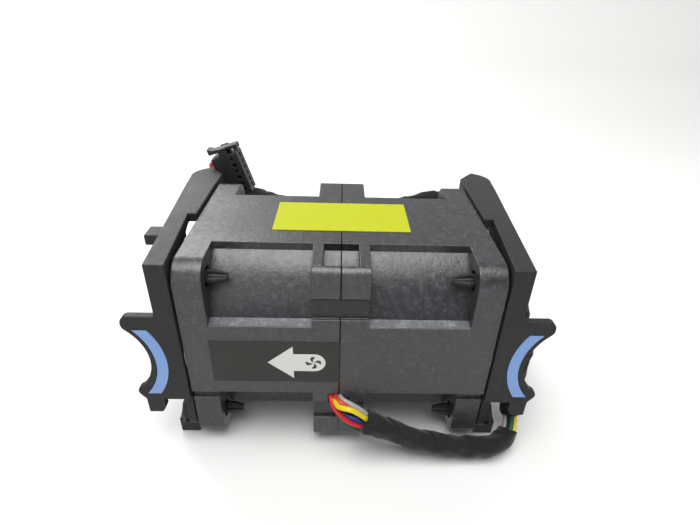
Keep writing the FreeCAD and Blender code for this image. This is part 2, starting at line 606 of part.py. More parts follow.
def make_stator(side, turned):
    core = new_body(side + "_stator_core", turned)
    ring = sketch_on(core, "YZ_Plane", "ring", "stack_start")
    disc(ring, 0, 0, f"{tube_out} + fit_slack")
    disc(ring, 0, 0, f"{tube_out} + fit_slack + yoke_ring")
    pad(core, ring, "stack_end - stack_start")
    pole = sketch_on(core, "YZ_Plane", "pole", "stack_start")
    shoe_in = f"({stack_out} - shoe_thick)"
    spread = f"(180 deg / pole_count - asin(slot_mouth / 2 / {stack_out}))"
    arm, root = "arm_width / 2", f"{tube_out} + yoke_ring / 2"
    neck = f"sqrt({shoe_in}^2 - (arm_width / 2)^2)"
    outline(pole, [
        (arm, root), (arm, neck, shoe_in),
        (f"{shoe_in} * sin({spread})", f"{shoe_in} * cos({spread})"),
        (f"{stack_out} * sin({spread})", f"{stack_out} * cos({spread})", "-" + stack_out),
        (f"-{stack_out} * sin({spread})", f"{stack_out} * cos({spread})"),
        (f"-{shoe_in} * sin({spread})", f"{shoe_in} * cos({spread})", shoe_in),
        ("-" + arm, neck), ("-" + arm, root)])
    around_x(core, [pad(core, pole, "stack_end - stack_start")], "pole_count")

    covers = new_body(side + "_stator_insulator", turned)
    features = []
    for name, lift, back in (("front", "stack_end", False), ("rear", "stack_start", True)):
        collar = sketch_on(covers, "YZ_Plane", name + "_collar", lift)
        disc(collar, 0, 0, f"{tube_out} + fit_slack")
        disc(collar, 0, 0, f"{tube_out} + fit_slack + yoke_ring")
        pad(covers, collar, "cover_thick", back)
        arm = sketch_on(covers, "YZ_Plane", name + "_arm", lift)
        box_outline(arm, "-arm_width / 2 - arm_cover", f"{tube_out} + yoke_ring / 2",
                    "arm_width / 2 + arm_cover", f"{shoe_in} + lip_thick / 2")
        features.append(pad(covers, arm, "cover_thick", back))
        lip = sketch_on(covers, "YZ_Plane", name + "_lip", lift)
        box_outline(lip, "-arm_width", f"{shoe_in} + fit_slack",
                    "arm_width", f"{shoe_in} + lip_thick")
        features.append(pad(covers, lip, "cover_thick + lip_high", back))
    around_x(covers, features, "pole_count")

    coils = new_body(side + "_windings", turned)
    coil = sketch_on(coils, "XY_Plane", "coil", f"{tube_out} + yoke_ring + coil_clear")
    window = "arm_width / 2 + arm_cover * 2"
    box_outline(coil, "stack_start - cover_thick - coil_thick", f"-({window} + coil_thick)",
                "stack_end + cover_thick + coil_thick", f"{window} + coil_thick")
    box_outline(coil, "stack_start - cover_thick - fit_slack", f"-({window})",
                "stack_end + cover_thick + fit_slack", window)
    wound = pad(coils, coil, f"coil_reach - {tube_out} - yoke_ring - coil_clear")
    doc.recompute()
    corner_y = number(f"{window} + coil_thick")
    rounded = soften(coils, "round", "coil_round", lambda e: runs_along(e, 2)
                     and abs(abs(middle_of(e).y) - corner_y) < tiny)
    around_x(coils, [wound, rounded], "pole_count")


def make_board(side, turned):
    body = new_body(side + "_circuit_board", turned)
    disc_sketch = sketch_on(body, "YZ_Plane", "disc", "base_thick + seat_height")
    disc(disc_sketch, 0, 0, "board_radius")
    disc(disc_sketch, 0, 0, "board_hole")
    pad(body, disc_sketch, "board_thick")
    chip = sketch_on(body, "YZ_Plane", "chip", "base_thick + seat_height + board_thick")
    box_outline(chip, "-chip_size / 2", "chip_radius - chip_size / 2",
                "chip_size / 2", "chip_radius + chip_size / 2")
    around_x(body, [pad(body, chip, "chip_high")], "chip_count")


def make_rotor(side, turned, hand, count, pitch):
    """Impeller, steel yoke, magnet, shaft, clip and washer. Hand is 1 or -1; the blades
    are lofted between a root section inside the hub and a tip section past the bore."""
    fan = new_body(side + "_impeller", turned)
    loft = fan.newObject("PartDesign::AdditiveLoft", fan.Name + "_blade")
    sections = []
    for name, lift, angle in (("root", "blade_root", f"({pitch} - blade_twist / 2)"),
                              ("tip", "bore_radius", f"({pitch} + blade_twist / 2)")):
        reach = f"{hand} * (blade_end - blade_start) / 2 * tan({angle})"
        thick = f"blade_thick / 2 / cos({angle})"
        section = sketch_on(fan, "XY_Plane", name, lift)
        outline(section, [
            ("blade_start", f"-{reach} - {thick}", "-blade_camber"),
            ("blade_end", f"{reach} - {thick}"),
            ("blade_end", f"{reach} + {thick}", "blade_camber"),
            ("blade_start", f"-{reach} + {thick}")])
        sections.append(section)
    loft.Profile, loft.Sections = sections[0], sections[1:]
    fan.Tip = loft
    around_x(fan, [loft], count)
    for name, low, high in (("tips", "bore_radius - tip_gap", "trim_reach"),
                            ("roots", "trim_core", "hub_radius - hub_wall / 2")):
        trim = sketch_on(fan, "XY_Plane", name)
        box_outline(trim, "blade_start - trim_past", low, "blade_end + trim_past", high)
        turned_about_x(fan, trim, cut=True)
    hub = sketch_on(fan, "XY_Plane", "hub")
    cap = "hub_end - hub_cap"
    outline(hub, [
        ("hub_open", "hub_radius - hub_wall"), ("hub_open", "hub_radius"),
        ("hub_end - hub_bevel", "hub_radius"), ("hub_end", "hub_radius - hub_bevel"),
        ("hub_end", 0), ("shaft_end", 0), ("shaft_end", "shaft_radius"),
        (boss_start, "shaft_radius"), (boss_start, "boss_radius"), (cap, "boss_radius"),
        (cap, "hub_radius - hub_wall")])
    turned_about_x(fan, hub)

    yoke = new_body(side + "_rotor_yoke", turned)
    cup = sketch_on(yoke, "XY_Plane", "cup")
    outline(cup, [
        ("hub_open + yoke_inset", f"{yoke_out} - yoke_wall"),
        ("hub_open + yoke_inset", yoke_out), (cap, yoke_out),
        (cap, "boss_radius + fit_slack"), (f"{cap} - yoke_wall", "boss_radius + fit_slack"),
        (f"{cap} - yoke_wall", f"{yoke_out} - yoke_wall")])
    turned_about_x(yoke, cup)

    magnet = new_body(side + "_magnet_ring", turned)
    ring = sketch_on(magnet, "YZ_Plane", "ring", "magnet_start")
    disc(ring, 0, 0, magnet_out)
    disc(ring, 0, 0, f"{magnet_out} - magnet_thick")
    pad(magnet, ring, "magnet_end - magnet_start")

    shaft = new_body(side + "_shaft", turned)
    rod = sketch_on(shaft, "XY_Plane", "rod")
    ring_end = "ring_start + ring_thick"
    outline(rod, [
        ("shaft_start", 0), ("shaft_start", "shaft_radius"), ("ring_start", "shaft_radius"),
        ("ring_start", "shaft_radius - clip_groove"), (ring_end, "shaft_radius - clip_groove"),
        (ring_end, "shaft_radius"), ("shaft_end", "shaft_radius"), ("shaft_end", 0)])
    turned_about_x(shaft, rod)

    clip = new_body(side + "_retaining_ring", turned)
    loop = sketch_on(clip, "YZ_Plane", "loop", "ring_start + seat_slack")
    disc(loop, 0, 0, "ring_radius")
    disc(loop, 0, 0, "shaft_radius - clip_groove + seat_slack")
    pad(clip, loop, "ring_thick - seat_slack * 2")
    gap = sketch_on(clip, "YZ_Plane", "gap", "ring_start")
    box_outline(gap, "-ring_gap / 2", 0, "ring_gap / 2", "ring_radius + over_cut")
    pocket(clip, gap, "ring_thick")

    washer = new_body(side + "_preload_washer", turned)
    cone = sketch_on(washer, "XY_Plane", "cone")
    face = "front_seat + bearing_wide + seat_slack"
    bore = "shaft_radius + bearing_slack"
    outline(cone, [
        (f"{face} + washer_high - washer_thick", bore), (f"{face} + washer_high", bore),
        (f"{face} + washer_thick", "washer_radius"), (face, "washer_radius")])
    turned_about_x(washer, cone)


def make_plug():
    """The plug in its own frame: x the way it mates, z along its row of ways."""
    place = {"x": "plug_x", "z": f"{axis_z} + plug_z",
             "y": f"{axis_y} + rear_reach + plug_rest + plug_thick / 2"}

    def plug_body(label):
        body = new_body(label)
        body.Placement = Placement(Vector(), Rotation(Vector(0, 1, 0), -number("plug_tilt")))
        for name, text in place.items():
            body.setExpression("Placement.Base." + name, tied(text))
        body.setExpression("Placement.Rotation.Angle", tied("-plug_tilt"))
        return body

    def way(index):
        return f"({index} - (way_count - 1) / 2) * way_pitch"

    ways = [way(k) for k in range(round(number("way_count")))]
    housing = plug_body("connector_housing")
    block = sketch_on(housing, "YZ_Plane", "block", "-plug_long / 2")
    box_outline(block, "-plug_thick / 2", "-plug_wide / 2", "plug_thick / 2", "plug_wide / 2")
    pad(housing, block, "plug_long")
    bores = sketch_on(housing, "YZ_Plane", "bores", "-plug_long / 2 - over_cut")
    for z in ways:
        box_outline(bores, "-way_size / 2", f"{z} - way_size / 2",
                    "way_size / 2", f"{z} + way_size / 2")
    pocket(housing, bores, "plug_long + over_cut * 2")
    windows = sketch_on(housing, "XZ_Plane", "windows", "plug_thick / 2")
    for z in ways:
        disc(windows, "window_at", z, "window_radius")
    pocket(housing, windows, "plug_thick / 2 - way_size / 2 + window_past", along=False)
    hinge_z = "plug_wide / 2 + latch_lift + latch_thick / 2"
    for name, lift in (("near", "plug_thick / 2"), ("far", "-plug_thick / 2 + ear_thick")):
        ear = sketch_on(housing, "XZ_Plane", name + "_ear", lift)
        box_outline(ear, "-ear_wide / 2", "plug_wide / 2 - ear_root",
                    "ear_wide / 2", "plug_wide / 2 + ear_height")
        pad(housing, ear, "ear_thick", back=True)
    pivot = sketch_on(housing, "XZ_Plane", "pivot", "plug_thick / 2 + over_cut")
    disc(pivot, 0, hinge_z, "pin_radius + pin_clear")
    pocket(housing, pivot, "plug_thick + over_cut * 2", along=False)

    latch = plug_body("connector_latch")
    inner = "(plug_thick / 2 - ear_thick - latch_side)"
    top = "plug_wide / 2 + latch_lift + latch_thick"
    lever = sketch_on(latch, "XZ_Plane", "lever", inner)
    low = "plug_wide / 2 + latch_lift"
    outline(lever, [
        ("-latch_long / 2", low), ("latch_long / 2 - hook_long", low),
        ("latch_long / 2 - hook_long", f"{low} - hook_high"),
        ("latch_long / 2", f"{low} - hook_high / 2"), ("latch_long / 2", top),
        ("-latch_long / 2 + grip_long", top), ("-latch_long / 2", f"{top} + grip_high")])
    pad(latch, lever, f"{inner} * 2", back=True)
    pin = sketch_on(latch, "XZ_Plane", "pin", "plug_thick / 2 - pin_clear")
    disc(pin, 0, hinge_z, "pin_radius")
    pad(latch, pin, "plug_thick - pin_clear * 2", back=True)

    contacts = plug_body("connector_terminals")
    strips = sketch_on(contacts, "YZ_Plane", "strips", "-plug_long / 2")
    for z in ways:
        box_outline(strips, "-way_size / 2 + way_slack", f"{z} - way_size / 2 + way_slack",
                    "way_size / 2 - way_slack", f"{z} + way_size / 2 - way_slack")
    pad(contacts, strips, "plug_long - contact_inset")
    return housing, ways


def path_through(places, label):
    """Straight runs joined by tangent arcs, each arc as large as its two runs allow."""
    edges, start = [], places[0]
    radii = []
    for before, here, after in zip(places, places[1:], places[2:]):
        way_in, way_out = here.sub(before), after.sub(here)
        run = min(way_in.Length, way_out.Length)
        half_turn = way_in.getAngle(way_out) / 2
        reach = arc_share * run
        radius = reach / math.tan(half_turn)
        radii.append(round(radius, 2))
        way_in.normalize()
        way_out.normalize()
        first, last = here - way_in * reach, here + way_out * reach
        inward = way_out.sub(way_in).normalize()
        depth = radius * (1 / math.cos(half_turn) - 1)
        edges.append(Part.LineSegment(start, first).toShape())
        edges.append(Part.Arc(first, here + inward * depth, last).toShape())
        start = last
    edges.append(Part.LineSegment(start, places[-1]).toShape())
    print(label, "radii", radii, "length", round(sum(e.Length for e in edges), 1))
    return Part.Wire(edges)


def tubes(label, strands):
    """Round tubes, each given by its path, its radius and its name in the report."""
    solids = []
    for places, radius, name in strands:
        path = path_through(places, name)
        ring = Part.Circle(places[0], places[1].sub(places[0]), radius)
        solid = path.makePipe(Part.Face(Part.Wire(ring.toShape())))
        swept = math.pi * radius**2 * path.Length
        if abs(solid.Volume - swept) > volume_slack * swept:
            raise RuntimeError(f"{name} has volume {solid.Volume}, expected {swept}")
        solids.append(solid)
    item = doc.addObject("Part::Feature", label)
    item.Label = label
    item.Shape = solids[0] if len(solids) == 1 else Part.makeCompound(solids)
    item.Placement = Placement()
    nodes.append(item)


# the braided sleeve in the module's own frame: out of the front, along it, up behind the
# right finger tab, then behind the fan to the plug
sleeve_route = [
    Vector(5.08, -25.53, 9.31), Vector(12.46, -25.83, 6.25), Vector(20.0, -26.2, 3.7),
    Vector(26.8, -26.1, 2.6), Vector(32.6, -25.7, 2.9), Vector(36.3, -22.6, 3.9),
    Vector(35.9, -17.6, 6.9), Vector(36.2, -15.4, 12.0), Vector(38.2, -13.6, 17.2),
    Vector(39.0, -8.4, 21.2), Vector(39.0, -1.8, 23.8), Vector(39.2, 6.2, 26.4),
    Vector(39.5, 13.4, 28.6), Vector(39.4, 20.2, 30.2), Vector(37.2, 26.4, 31.4),
    Vector(32.4, 30.8, 32.2), Vector(25.6, 32.4, 32.2), Vector(18.4, 30.6, 31.0),
    Vector(10.4, 28.0, 29.9), Vector(1.8, 26.8, 29.3), Vector(-6.6, 28.2, 29.1),
    Vector(-14.4, 31.4, 29.4), Vector(-21.4, 34.8, 30.1), Vector(-27.6, 36.4, 30.9),
]
# from the sleeve's end the six wires go on round this loop and into the plug
tail_loop = [
    Vector(-30.4, 37.1, 31.3), Vector(-33.7, 35.9, 32.5), Vector(-35.6, 32.7, 34.6),
    Vector(-35.8, 28.9, 37.1),
]


def lead_paths():
    """Six wires up the channel in the intake motor's strut, out of the barrel and into the
    sleeve, three by two. Each keeps its place beside the middle line through the bend."""
    angle = math.radians(number("lead_angle"))
    away = Vector(0, math.cos(angle), math.sin(angle))
    across = Vector(0, -away.z, away.y)
    mouth = sleeve_route[0]
    ahead = sleeve_route[1].sub(mouth).normalize()
    corner = mouth - ahead * number("lead_run")
    start = corner - away * (corner.sub(point(0, axis_y, axis_z)).dot(away)
                             - number("lead_inner"))
    hinge = away.cross(ahead).normalize()
    before, after = hinge.cross(away), hinge.cross(ahead)
    paths = []
    for row in (-0.5, 0.5):
        for column in (-1, 0, 1):
            offset = (Vector(1, 0, 0) * column + across * row) * number("wire_pitch")
            side, rise = offset.dot(before), hinge * offset.dot(hinge)
            bend = corner + (before + after) * (side / (1 + before.dot(after))) + rise
            first = start + offset
            middle = (first + bend) / 2 + across * number("lead_step")
            end = mouth + after * side + rise - ahead * number("seat_slack")
            paths.append([first, middle, bend, end])
    return paths


def make_harness(ways):
    tubes("lead_wires", [(path, number("wire_radius"), f"lead wire {k}")
                         for k, path in enumerate(lead_paths(), 1)])
    tubes("harness_sleeve", [(sleeve_route, number("sleeve_radius"), "sleeve")])

    tubes("connector_tail", [(path, number("tail_radius"), f"tail wire {k}")
                             for k, path in enumerate(tail_paths(ways), 1)])


def tail_paths(ways):
    """Six wires from the sleeve's end, round the loop and into the plug. They leave the
    sleeve as three pairs and spread on the way until each is level with its own way."""
    tilt = math.radians(number("plug_tilt"))
    ahead = Vector(math.cos(tilt), 0, math.sin(tilt))
    row_way = Vector(-math.sin(tilt), 0, math.cos(tilt))
    mouth = point("plug_x", f"{axis_y} + rear_reach + plug_rest + plug_thick / 2",
                  f"{axis_z} + plug_z") - ahead * number("plug_long / 2")
    middle = [sleeve_route[-1]] + tail_loop + [mouth - ahead * number("tail_run")]
    start_way = tail_loop[0].sub(sleeve_route[-1]).normalize()
    start_side = start_way.cross(Vector(0, 0, 1)).normalize()
    start_rise = start_side.cross(start_way)
    pitch = number("tail_pitch")
    paths = []
    for index, way in enumerate(ways):
        left, level, height = 0.5 - index % 2, index // 2 - 1, number(way)
        path = [middle[0] + start_side * pitch * left + start_rise * pitch * level
                + start_way * number("tail_gap")]
        for k in range(1, len(middle) - 1):
            share = k / (len(middle) - 1)
            along = middle[k + 1].sub(middle[k - 1]).normalize()
            rise = start_rise * (1 - share) + row_way * share
            rise = (rise - along * rise.dot(along)).normalize()
            side = along.cross(rise)
            path.append(middle[k] + side * pitch * left
                        + rise * (pitch * level * (1 - share) + height * share))
        path.append(middle[-1] + row_way * height - ahead * pitch * left)
        path.append(mouth + row_way * height - ahead * number("tail_gap"))
        paths.append(path[::-1])
    return paths


intake_housing = make_housing()
exhaust_housing = mirrored(intake_housing, "exhaust_housing")
print("housing made")
right_bracket = make_bracket()
pad_body = make_touch_pad()
pins = make_pins()
print("bracket, touch pad and pins made")
left_half = mirrored(right_bracket, "left_half")
nodes.remove(left_half)
ear = new_box("ear", "ear_reach - fan_depth / 2 - bracket_gap - web_thick", "ear_long",
              "ear_high", "-ear_reach", "-ear_start - ear_long", "ear_top - ear_high")
left_bracket = doc.addObject("Part::Fuse", "left_bracket")
left_bracket.Label = "left_bracket"
left_bracket.Base, left_bracket.Tool = left_half, ear
nodes.append(left_bracket)
mirrored(pad_body, "left_touch_pad")
mirrored(pins, "left_mount_pins")
make_labels()
for motor, turned, hand, blades, pitch in (
        ("intake", False, 1, "intake_blades", "intake_pitch"),
        ("exhaust", True, -1, "exhaust_blades", "exhaust_pitch")):
    make_tube(motor, turned)
    make_bearing(motor + "_rear_bearing", "rear_seat - bearing_wide", turned)
    make_bearing(motor + "_front_bearing", "front_seat", turned)
    make_stator(motor, turned)
    make_board(motor, turned)
    make_rotor(motor, turned, hand, blades, pitch)
    print(motor, "motor and rotor made")
plug, ways = make_plug()
make_harness(ways)
doc.recompute()

for item in doc.Objects:
    if "Invalid" in item.State or "Error" in item.State:
        raise RuntimeError(f"{item.Name}: {item.State}")
for item in nodes:
    shape = item.Shape
    if shape.isNull() or not shape.isValid():
        raise RuntimeError(item.Label + " has no valid shape")
    shape.exportStep(f"parts/{item.Label}.step")
    print(item.Label, len(shape.Solids), "solids", round(shape.Volume, 1), "mm3")
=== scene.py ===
import bpy
import bmesh
import math
import numpy as np
from mathutils import Matrix, Vector


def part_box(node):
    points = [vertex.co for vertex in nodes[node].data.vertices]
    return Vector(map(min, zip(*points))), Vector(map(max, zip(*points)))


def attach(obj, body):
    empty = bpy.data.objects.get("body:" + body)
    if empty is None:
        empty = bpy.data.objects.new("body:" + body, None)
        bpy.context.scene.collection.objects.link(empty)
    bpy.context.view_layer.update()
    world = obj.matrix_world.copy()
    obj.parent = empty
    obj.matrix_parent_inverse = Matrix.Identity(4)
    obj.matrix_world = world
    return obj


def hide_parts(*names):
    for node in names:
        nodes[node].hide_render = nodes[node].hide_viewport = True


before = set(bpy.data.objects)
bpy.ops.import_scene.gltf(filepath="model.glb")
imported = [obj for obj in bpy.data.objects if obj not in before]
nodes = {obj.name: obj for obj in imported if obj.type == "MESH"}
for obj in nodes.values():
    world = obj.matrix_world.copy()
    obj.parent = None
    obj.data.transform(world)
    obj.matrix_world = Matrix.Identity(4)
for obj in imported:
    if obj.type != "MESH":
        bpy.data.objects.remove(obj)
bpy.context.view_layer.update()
mm = 0.001
print("frame loaded,", len(nodes), "nodes")

# the camera looks down at the front: its place in mm and the ways it calls right, up, back
view = {"lens": 24.11, "sensor": 36, "near": 0.005, "spot": (-0.47, -87.35, 82.17),
        "right": (0.99955, -0.01177, 0.02744), "up": (-0.01754, 0.51217, 0.85871),
        "back": (-0.02416, -0.8588, 0.51173)}
camera = bpy.data.objects.new("viewCamera", bpy.data.cameras.new("viewCamera"))
camera.data.lens = view["lens"]
camera.data.sensor_width = view["sensor"]
camera.data.clip_start = view["near"]
turned = Matrix((view["right"], view["up"], view["back"])).transposed().to_4x4()
camera.matrix_world = Matrix.Translation(Vector(view["spot"]) * mm) @ turned
bpy.context.scene.collection.objects.link(camera)
bpy.context.scene.camera = camera
bpy.context.scene.view_settings.view_transform = "Standard"


# a socket that can be used in sums; each sum adds a Math node
class Sock:
    def __init__(self, bench, node, out=0):
        self.bench, self.node, self.out = bench, node, node.outputs[out]

    def of(self, out):
        return Sock(self.bench, self.node, out)

    def sum(self, kind, first, second):
        return self.bench.add("ShaderNodeMath", {"operation": kind}, {0: first, 1: second})

    def __add__(self, other): return self.sum("ADD", self, other)
    def __radd__(self, other): return self.sum("ADD", other, self)
    def __sub__(self, other): return self.sum("SUBTRACT", self, other)
    def __rsub__(self, other): return self.sum("SUBTRACT", other, self)
    def __mul__(self, other): return self.sum("MULTIPLY", self, other)
    def __rmul__(self, other): return self.sum("MULTIPLY", other, self)


# one material on the bench: its nodes, and the few textures that its finish is made of
class Bench:
    def __init__(self, name, **fixed):
        self.material = bpy.data.materials.new(name)
        self.material.use_nodes = True
        self.tree = self.material.node_tree
        self.shader = self.tree.nodes["Principled BSDF"]
        for socket, value in fixed.items():
            self.set(self.shader.inputs[socket.replace("_", " ")], value)

    def set(self, socket, value):
        if isinstance(value, Sock):
            self.tree.links.new(value.out, socket)
        elif socket.type == "RGBA" and len(value) == 3:
            socket.default_value = (*value, 1)
        else:
            socket.default_value = value

    def add(self, kind, settings=None, inputs=None, out=0):
        node = self.tree.nodes.new(kind)
        for name, value in (settings or {}).items():
            setattr(node, name, value)
        for key, value in (inputs or {}).items():
            self.set(node.inputs[key], value)
        return Sock(self, node, out)

    def place(self, squeeze=(1, 1, 1)):
        spot = self.add("ShaderNodeTexCoord").of("Object")
        return self.add("ShaderNodeMapping", None, {"Vector": spot, "Scale": squeeze})

    def noise(self, where, scale, detail=3.0, rough=0.55):
        return self.add("ShaderNodeTexNoise", None, {"Vector": where, "Scale": scale,
                                                     "Detail": detail, "Roughness": rough})

    def blend(self, factor, first, second):
        return self.add("ShaderNodeMix", {"data_type": "RGBA"},
                        {0: factor, 6: first, 7: second}, 2)

    def between(self, value, low, high):
        return self.add("ShaderNodeMapRange", None, {0: value, 1: low, 2: high})

    def bump(self, height, depth, strength=1.0):
        return self.add("ShaderNodeBump", None, {"Height": height, "Distance": depth,
                                                 "Strength": strength})

    def done(self, **links):
        for socket, value in links.items():
            self.set(self.shader.inputs[socket.replace("_", " ")], value)
        return self.material


# moulded plastic: a fine grain and a coarser pebble stand up from the face and catch the
# light, a broad cloud dulls it, and streaks along its length are scuffed brighter. A look
# with painted recess shade also pales the faces that lie further forward than the sunk
# ones, over a depth given in mm, so that the sunk faces look shaded
def mouldedPlastic(name, look, streakSqueeze=(12, 1.2, 1)):
    bench = Bench(name, Specular_IOR_Level=look.get("sheen", 0.5))
    where = bench.place()
    grain = bench.noise(where, look["grainScale"], 3, 0.7)
    pebble = bench.noise(where, look["grainScale"] * 0.43, 2)
    cloud = bench.noise(where, look["cloudScale"], 3)
    streak = bench.noise(bench.place(streakSqueeze), look["cloudScale"] * 2.6, 4)
    fleck = bench.between(grain * 0.6 + pebble * 0.4, 0.5, 0.66)
    dull = bench.between(cloud, 0.36, 0.72)
    rub = bench.between(streak, 0.58, 0.74)
    tone = bench.blend(fleck * look["fleck"], look["colour"], look["light"])
    tone = bench.blend(dull * look["cloud"], tone, look["dust"])
    tone = bench.blend(rub * look["rub"], tone, look["light"])
    # painted shade: faces further forward are paled, so the sunk faces stay darker as if shaded
    if "recessShade" in look:
        spot = bench.add("ShaderNodeTexCoord").of("Object")
        forward = bench.add("ShaderNodeSeparateXYZ", None, {0: spot}).of("Y") * (-1 / mm)
        tone = bench.blend(bench.between(forward, *look["recessShadeFrom"]) * look["recessShade"],
                           tone, look["light"])
    rough = look["rough"] + (pebble - 0.5) * 0.3 + (dull - 0.5) * 0.08 - rub * 0.1
    height = grain * 0.5 + pebble
    return bench.done(Base_Color=tone, Roughness=rough,
                      Normal=bench.bump(height, look["depth"] * mm, 0.7))


# turned or drawn metal: fine lines round or along, tinted by a broad cloud
def workedMetal(name, colour, dark, rough, squeeze=(1, 1, 1), scale=2600, depth=0.006):
    bench = Bench(name, Metallic=1.0)
    lines = bench.noise(bench.place(squeeze), scale, 3, 0.6)
    cloud = bench.noise(bench.place(), 260, 3)
    tone = bench.blend(bench.between(cloud, 0.4, 0.8) * 0.6 + lines * 0.25, colour, dark)
    return bench.done(Base_Color=tone, Roughness=rough + (lines - 0.5) * 0.18,
                      Normal=bench.bump(lines, depth * mm, 0.5))


# the housing's last two values paint shade into its sunk faces: the faces further forward are
# paled
housingLook = {"colour": (0.020, 0.021, 0.024), "light": (0.16, 0.163, 0.172),
               "dust": (0.034, 0.035, 0.039), "grainScale": 2000, "cloudScale": 75,
               "fleck": 0.40, "cloud": 0.4, "rub": 0.12, "rough": 0.38, "depth": 0.08,
               "sheen": 0.85, "recessShade": 0.17, "recessShadeFrom": (22.3, 22.9)}
bracketLook = {"colour": (0.023, 0.023, 0.0235), "light": (0.075, 0.075, 0.075),
               "dust": (0.045, 0.045, 0.044), "grainScale": 2900, "cloudScale": 60,
               "fleck": 0.28, "cloud": 0.45, "rub": 0.2, "rough": 0.46, "depth": 0.014,
               "sheen": 0.3}
bladeLook = {"colour": (0.022, 0.022, 0.024), "light": (0.07, 0.07, 0.072),
             "dust": (0.04, 0.04, 0.042), "grainScale": 2400, "cloudScale": 120,
             "fleck": 0.25, "cloud": 0.3, "rub": 0.25, "rough": 0.42, "depth": 0.008}
plugLook = {"colour": (0.024, 0.024, 0.026), "light": (0.07, 0.07, 0.07),
            "dust": (0.04, 0.04, 0.04), "grainScale": 2800, "cloudScale": 200,
            "fleck": 0.25, "cloud": 0.3, "rub": 0.3, "rough": 0.44, "depth": 0.008}
nylonLook = {**plugLook, "colour": (0.72, 0.70, 0.60), "light": (0.85, 0.83, 0.75),
             "dust": (0.6, 0.57, 0.47)}
touchLook = {**plugLook, "colour": (0.215, 0.365, 0.70), "light": (0.30, 0.45, 0.76),
             "dust": (0.18, 0.32, 0.64), "rough": 0.38}
housingPlastic = mouldedPlastic("housingPlastic", housingLook)
bracketPlastic = mouldedPlastic("bracketPlastic", bracketLook)
bladePlastic = mouldedPlastic("bladePlastic", bladeLook)
plugPlastic = mouldedPlastic("plugPlastic", plugLook)
magnetGrey = mouldedPlastic("magnetGrey", {**bladeLook, "colour": (0.06, 0.055, 0.05)})
nylon = mouldedPlastic("naturalNylon", nylonLook)
touchBlue = mouldedPlastic("touchBlue", touchLook)
print("plastics made")


# a satin film: a broad cloud dims it, and a fine unevenness breaks its shine
def satinFilm(name, colour, dim, rough=0.34):
    bench = Bench(name, Specular_IOR_Level=0.25)
    cloud = bench.noise(bench.place(), 140, 3)
    peel = bench.noise(bench.place(), 900, 2)
    tone = bench.blend(bench.between(cloud, 0.35, 0.8) * 0.5, colour, dim)
    return bench.done(Base_Color=tone, Roughness=rough + (cloud - 0.5) * 0.2,
                      Normal=bench.bump(peel, 0.012 * mm, 0.3))


labelYellow = satinFilm("labelYellow", (0.46, 0.50, 0.005), (0.42, 0.46, 0.007), 0.6)
labelDark = satinFilm("labelDark", (0.046, 0.046, 0.044), (0.034, 0.034, 0.032), 0.46)
printWhite = satinFilm("printWhite", (0.71, 0.725, 0.695), (0.66, 0.675, 0.65), 0.45)
printDark = satinFilm("printDark", (0.05, 0.052, 0.03), (0.09, 0.095, 0.03), 0.5)

steel = workedMetal("groundSteel", (0.60, 0.61, 0.63), (0.42, 0.43, 0.45), 0.24, (1, 30, 30))
pressedSteel = workedMetal("pressedSteel", (0.46, 0.47, 0.49), (0.30, 0.30, 0.32), 0.36)
lamination = workedMetal("laminations", (0.36, 0.36, 0.37), (0.20, 0.20, 0.21), 0.42,
                         (60, 1, 1), 700)
brass = workedMetal("turnedBrass", (0.74, 0.56, 0.27), (0.55, 0.39, 0.16), 0.28, (30, 1, 1))
tin = workedMetal("tinnedContact", (0.74, 0.73, 0.70), (0.5, 0.5, 0.48), 0.3)


# enamelled copper: the turns of a winding as bands of light and dark
def enamelledCopper():
    bench = Bench("enamelledCopper", Metallic=1.0, Coat_Weight=0.5, Coat_Roughness=0.12)
    turns = bench.add("ShaderNodeTexWave", {"bands_direction": "DIAGONAL"},
                      {"Vector": bench.place(), "Scale": 900.0, "Distortion": 1.5})
    tone = bench.blend(turns, (0.45, 0.16, 0.05), (0.78, 0.36, 0.15))
    return bench.done(Base_Color=tone, Roughness=0.3 + turns * 0.15,
                      Normal=bench.bump(turns, 0.1 * mm))


# solder mask: green, paler over the edges of the tracks below it
def solderMask():
    bench = Bench("solderMask", Coat_Weight=0.6, Coat_Roughness=0.1)
    tracks = bench.add("ShaderNodeTexVoronoi", {"distance": "MANHATTAN", "feature": "F2"},
                       {"Vector": bench.place(), "Scale": 700.0})
    edge = bench.between(tracks, 0.5, 0.62)
    tone = bench.blend(edge, (0.012, 0.12, 0.045), (0.03, 0.24, 0.09))
    return bench.done(Base_Color=tone, Roughness=0.3 + edge * 0.1,
                      Normal=bench.bump(edge, 0.03 * mm))


copper = enamelledCopper()
board = solderMask()
print("labels and metals made")


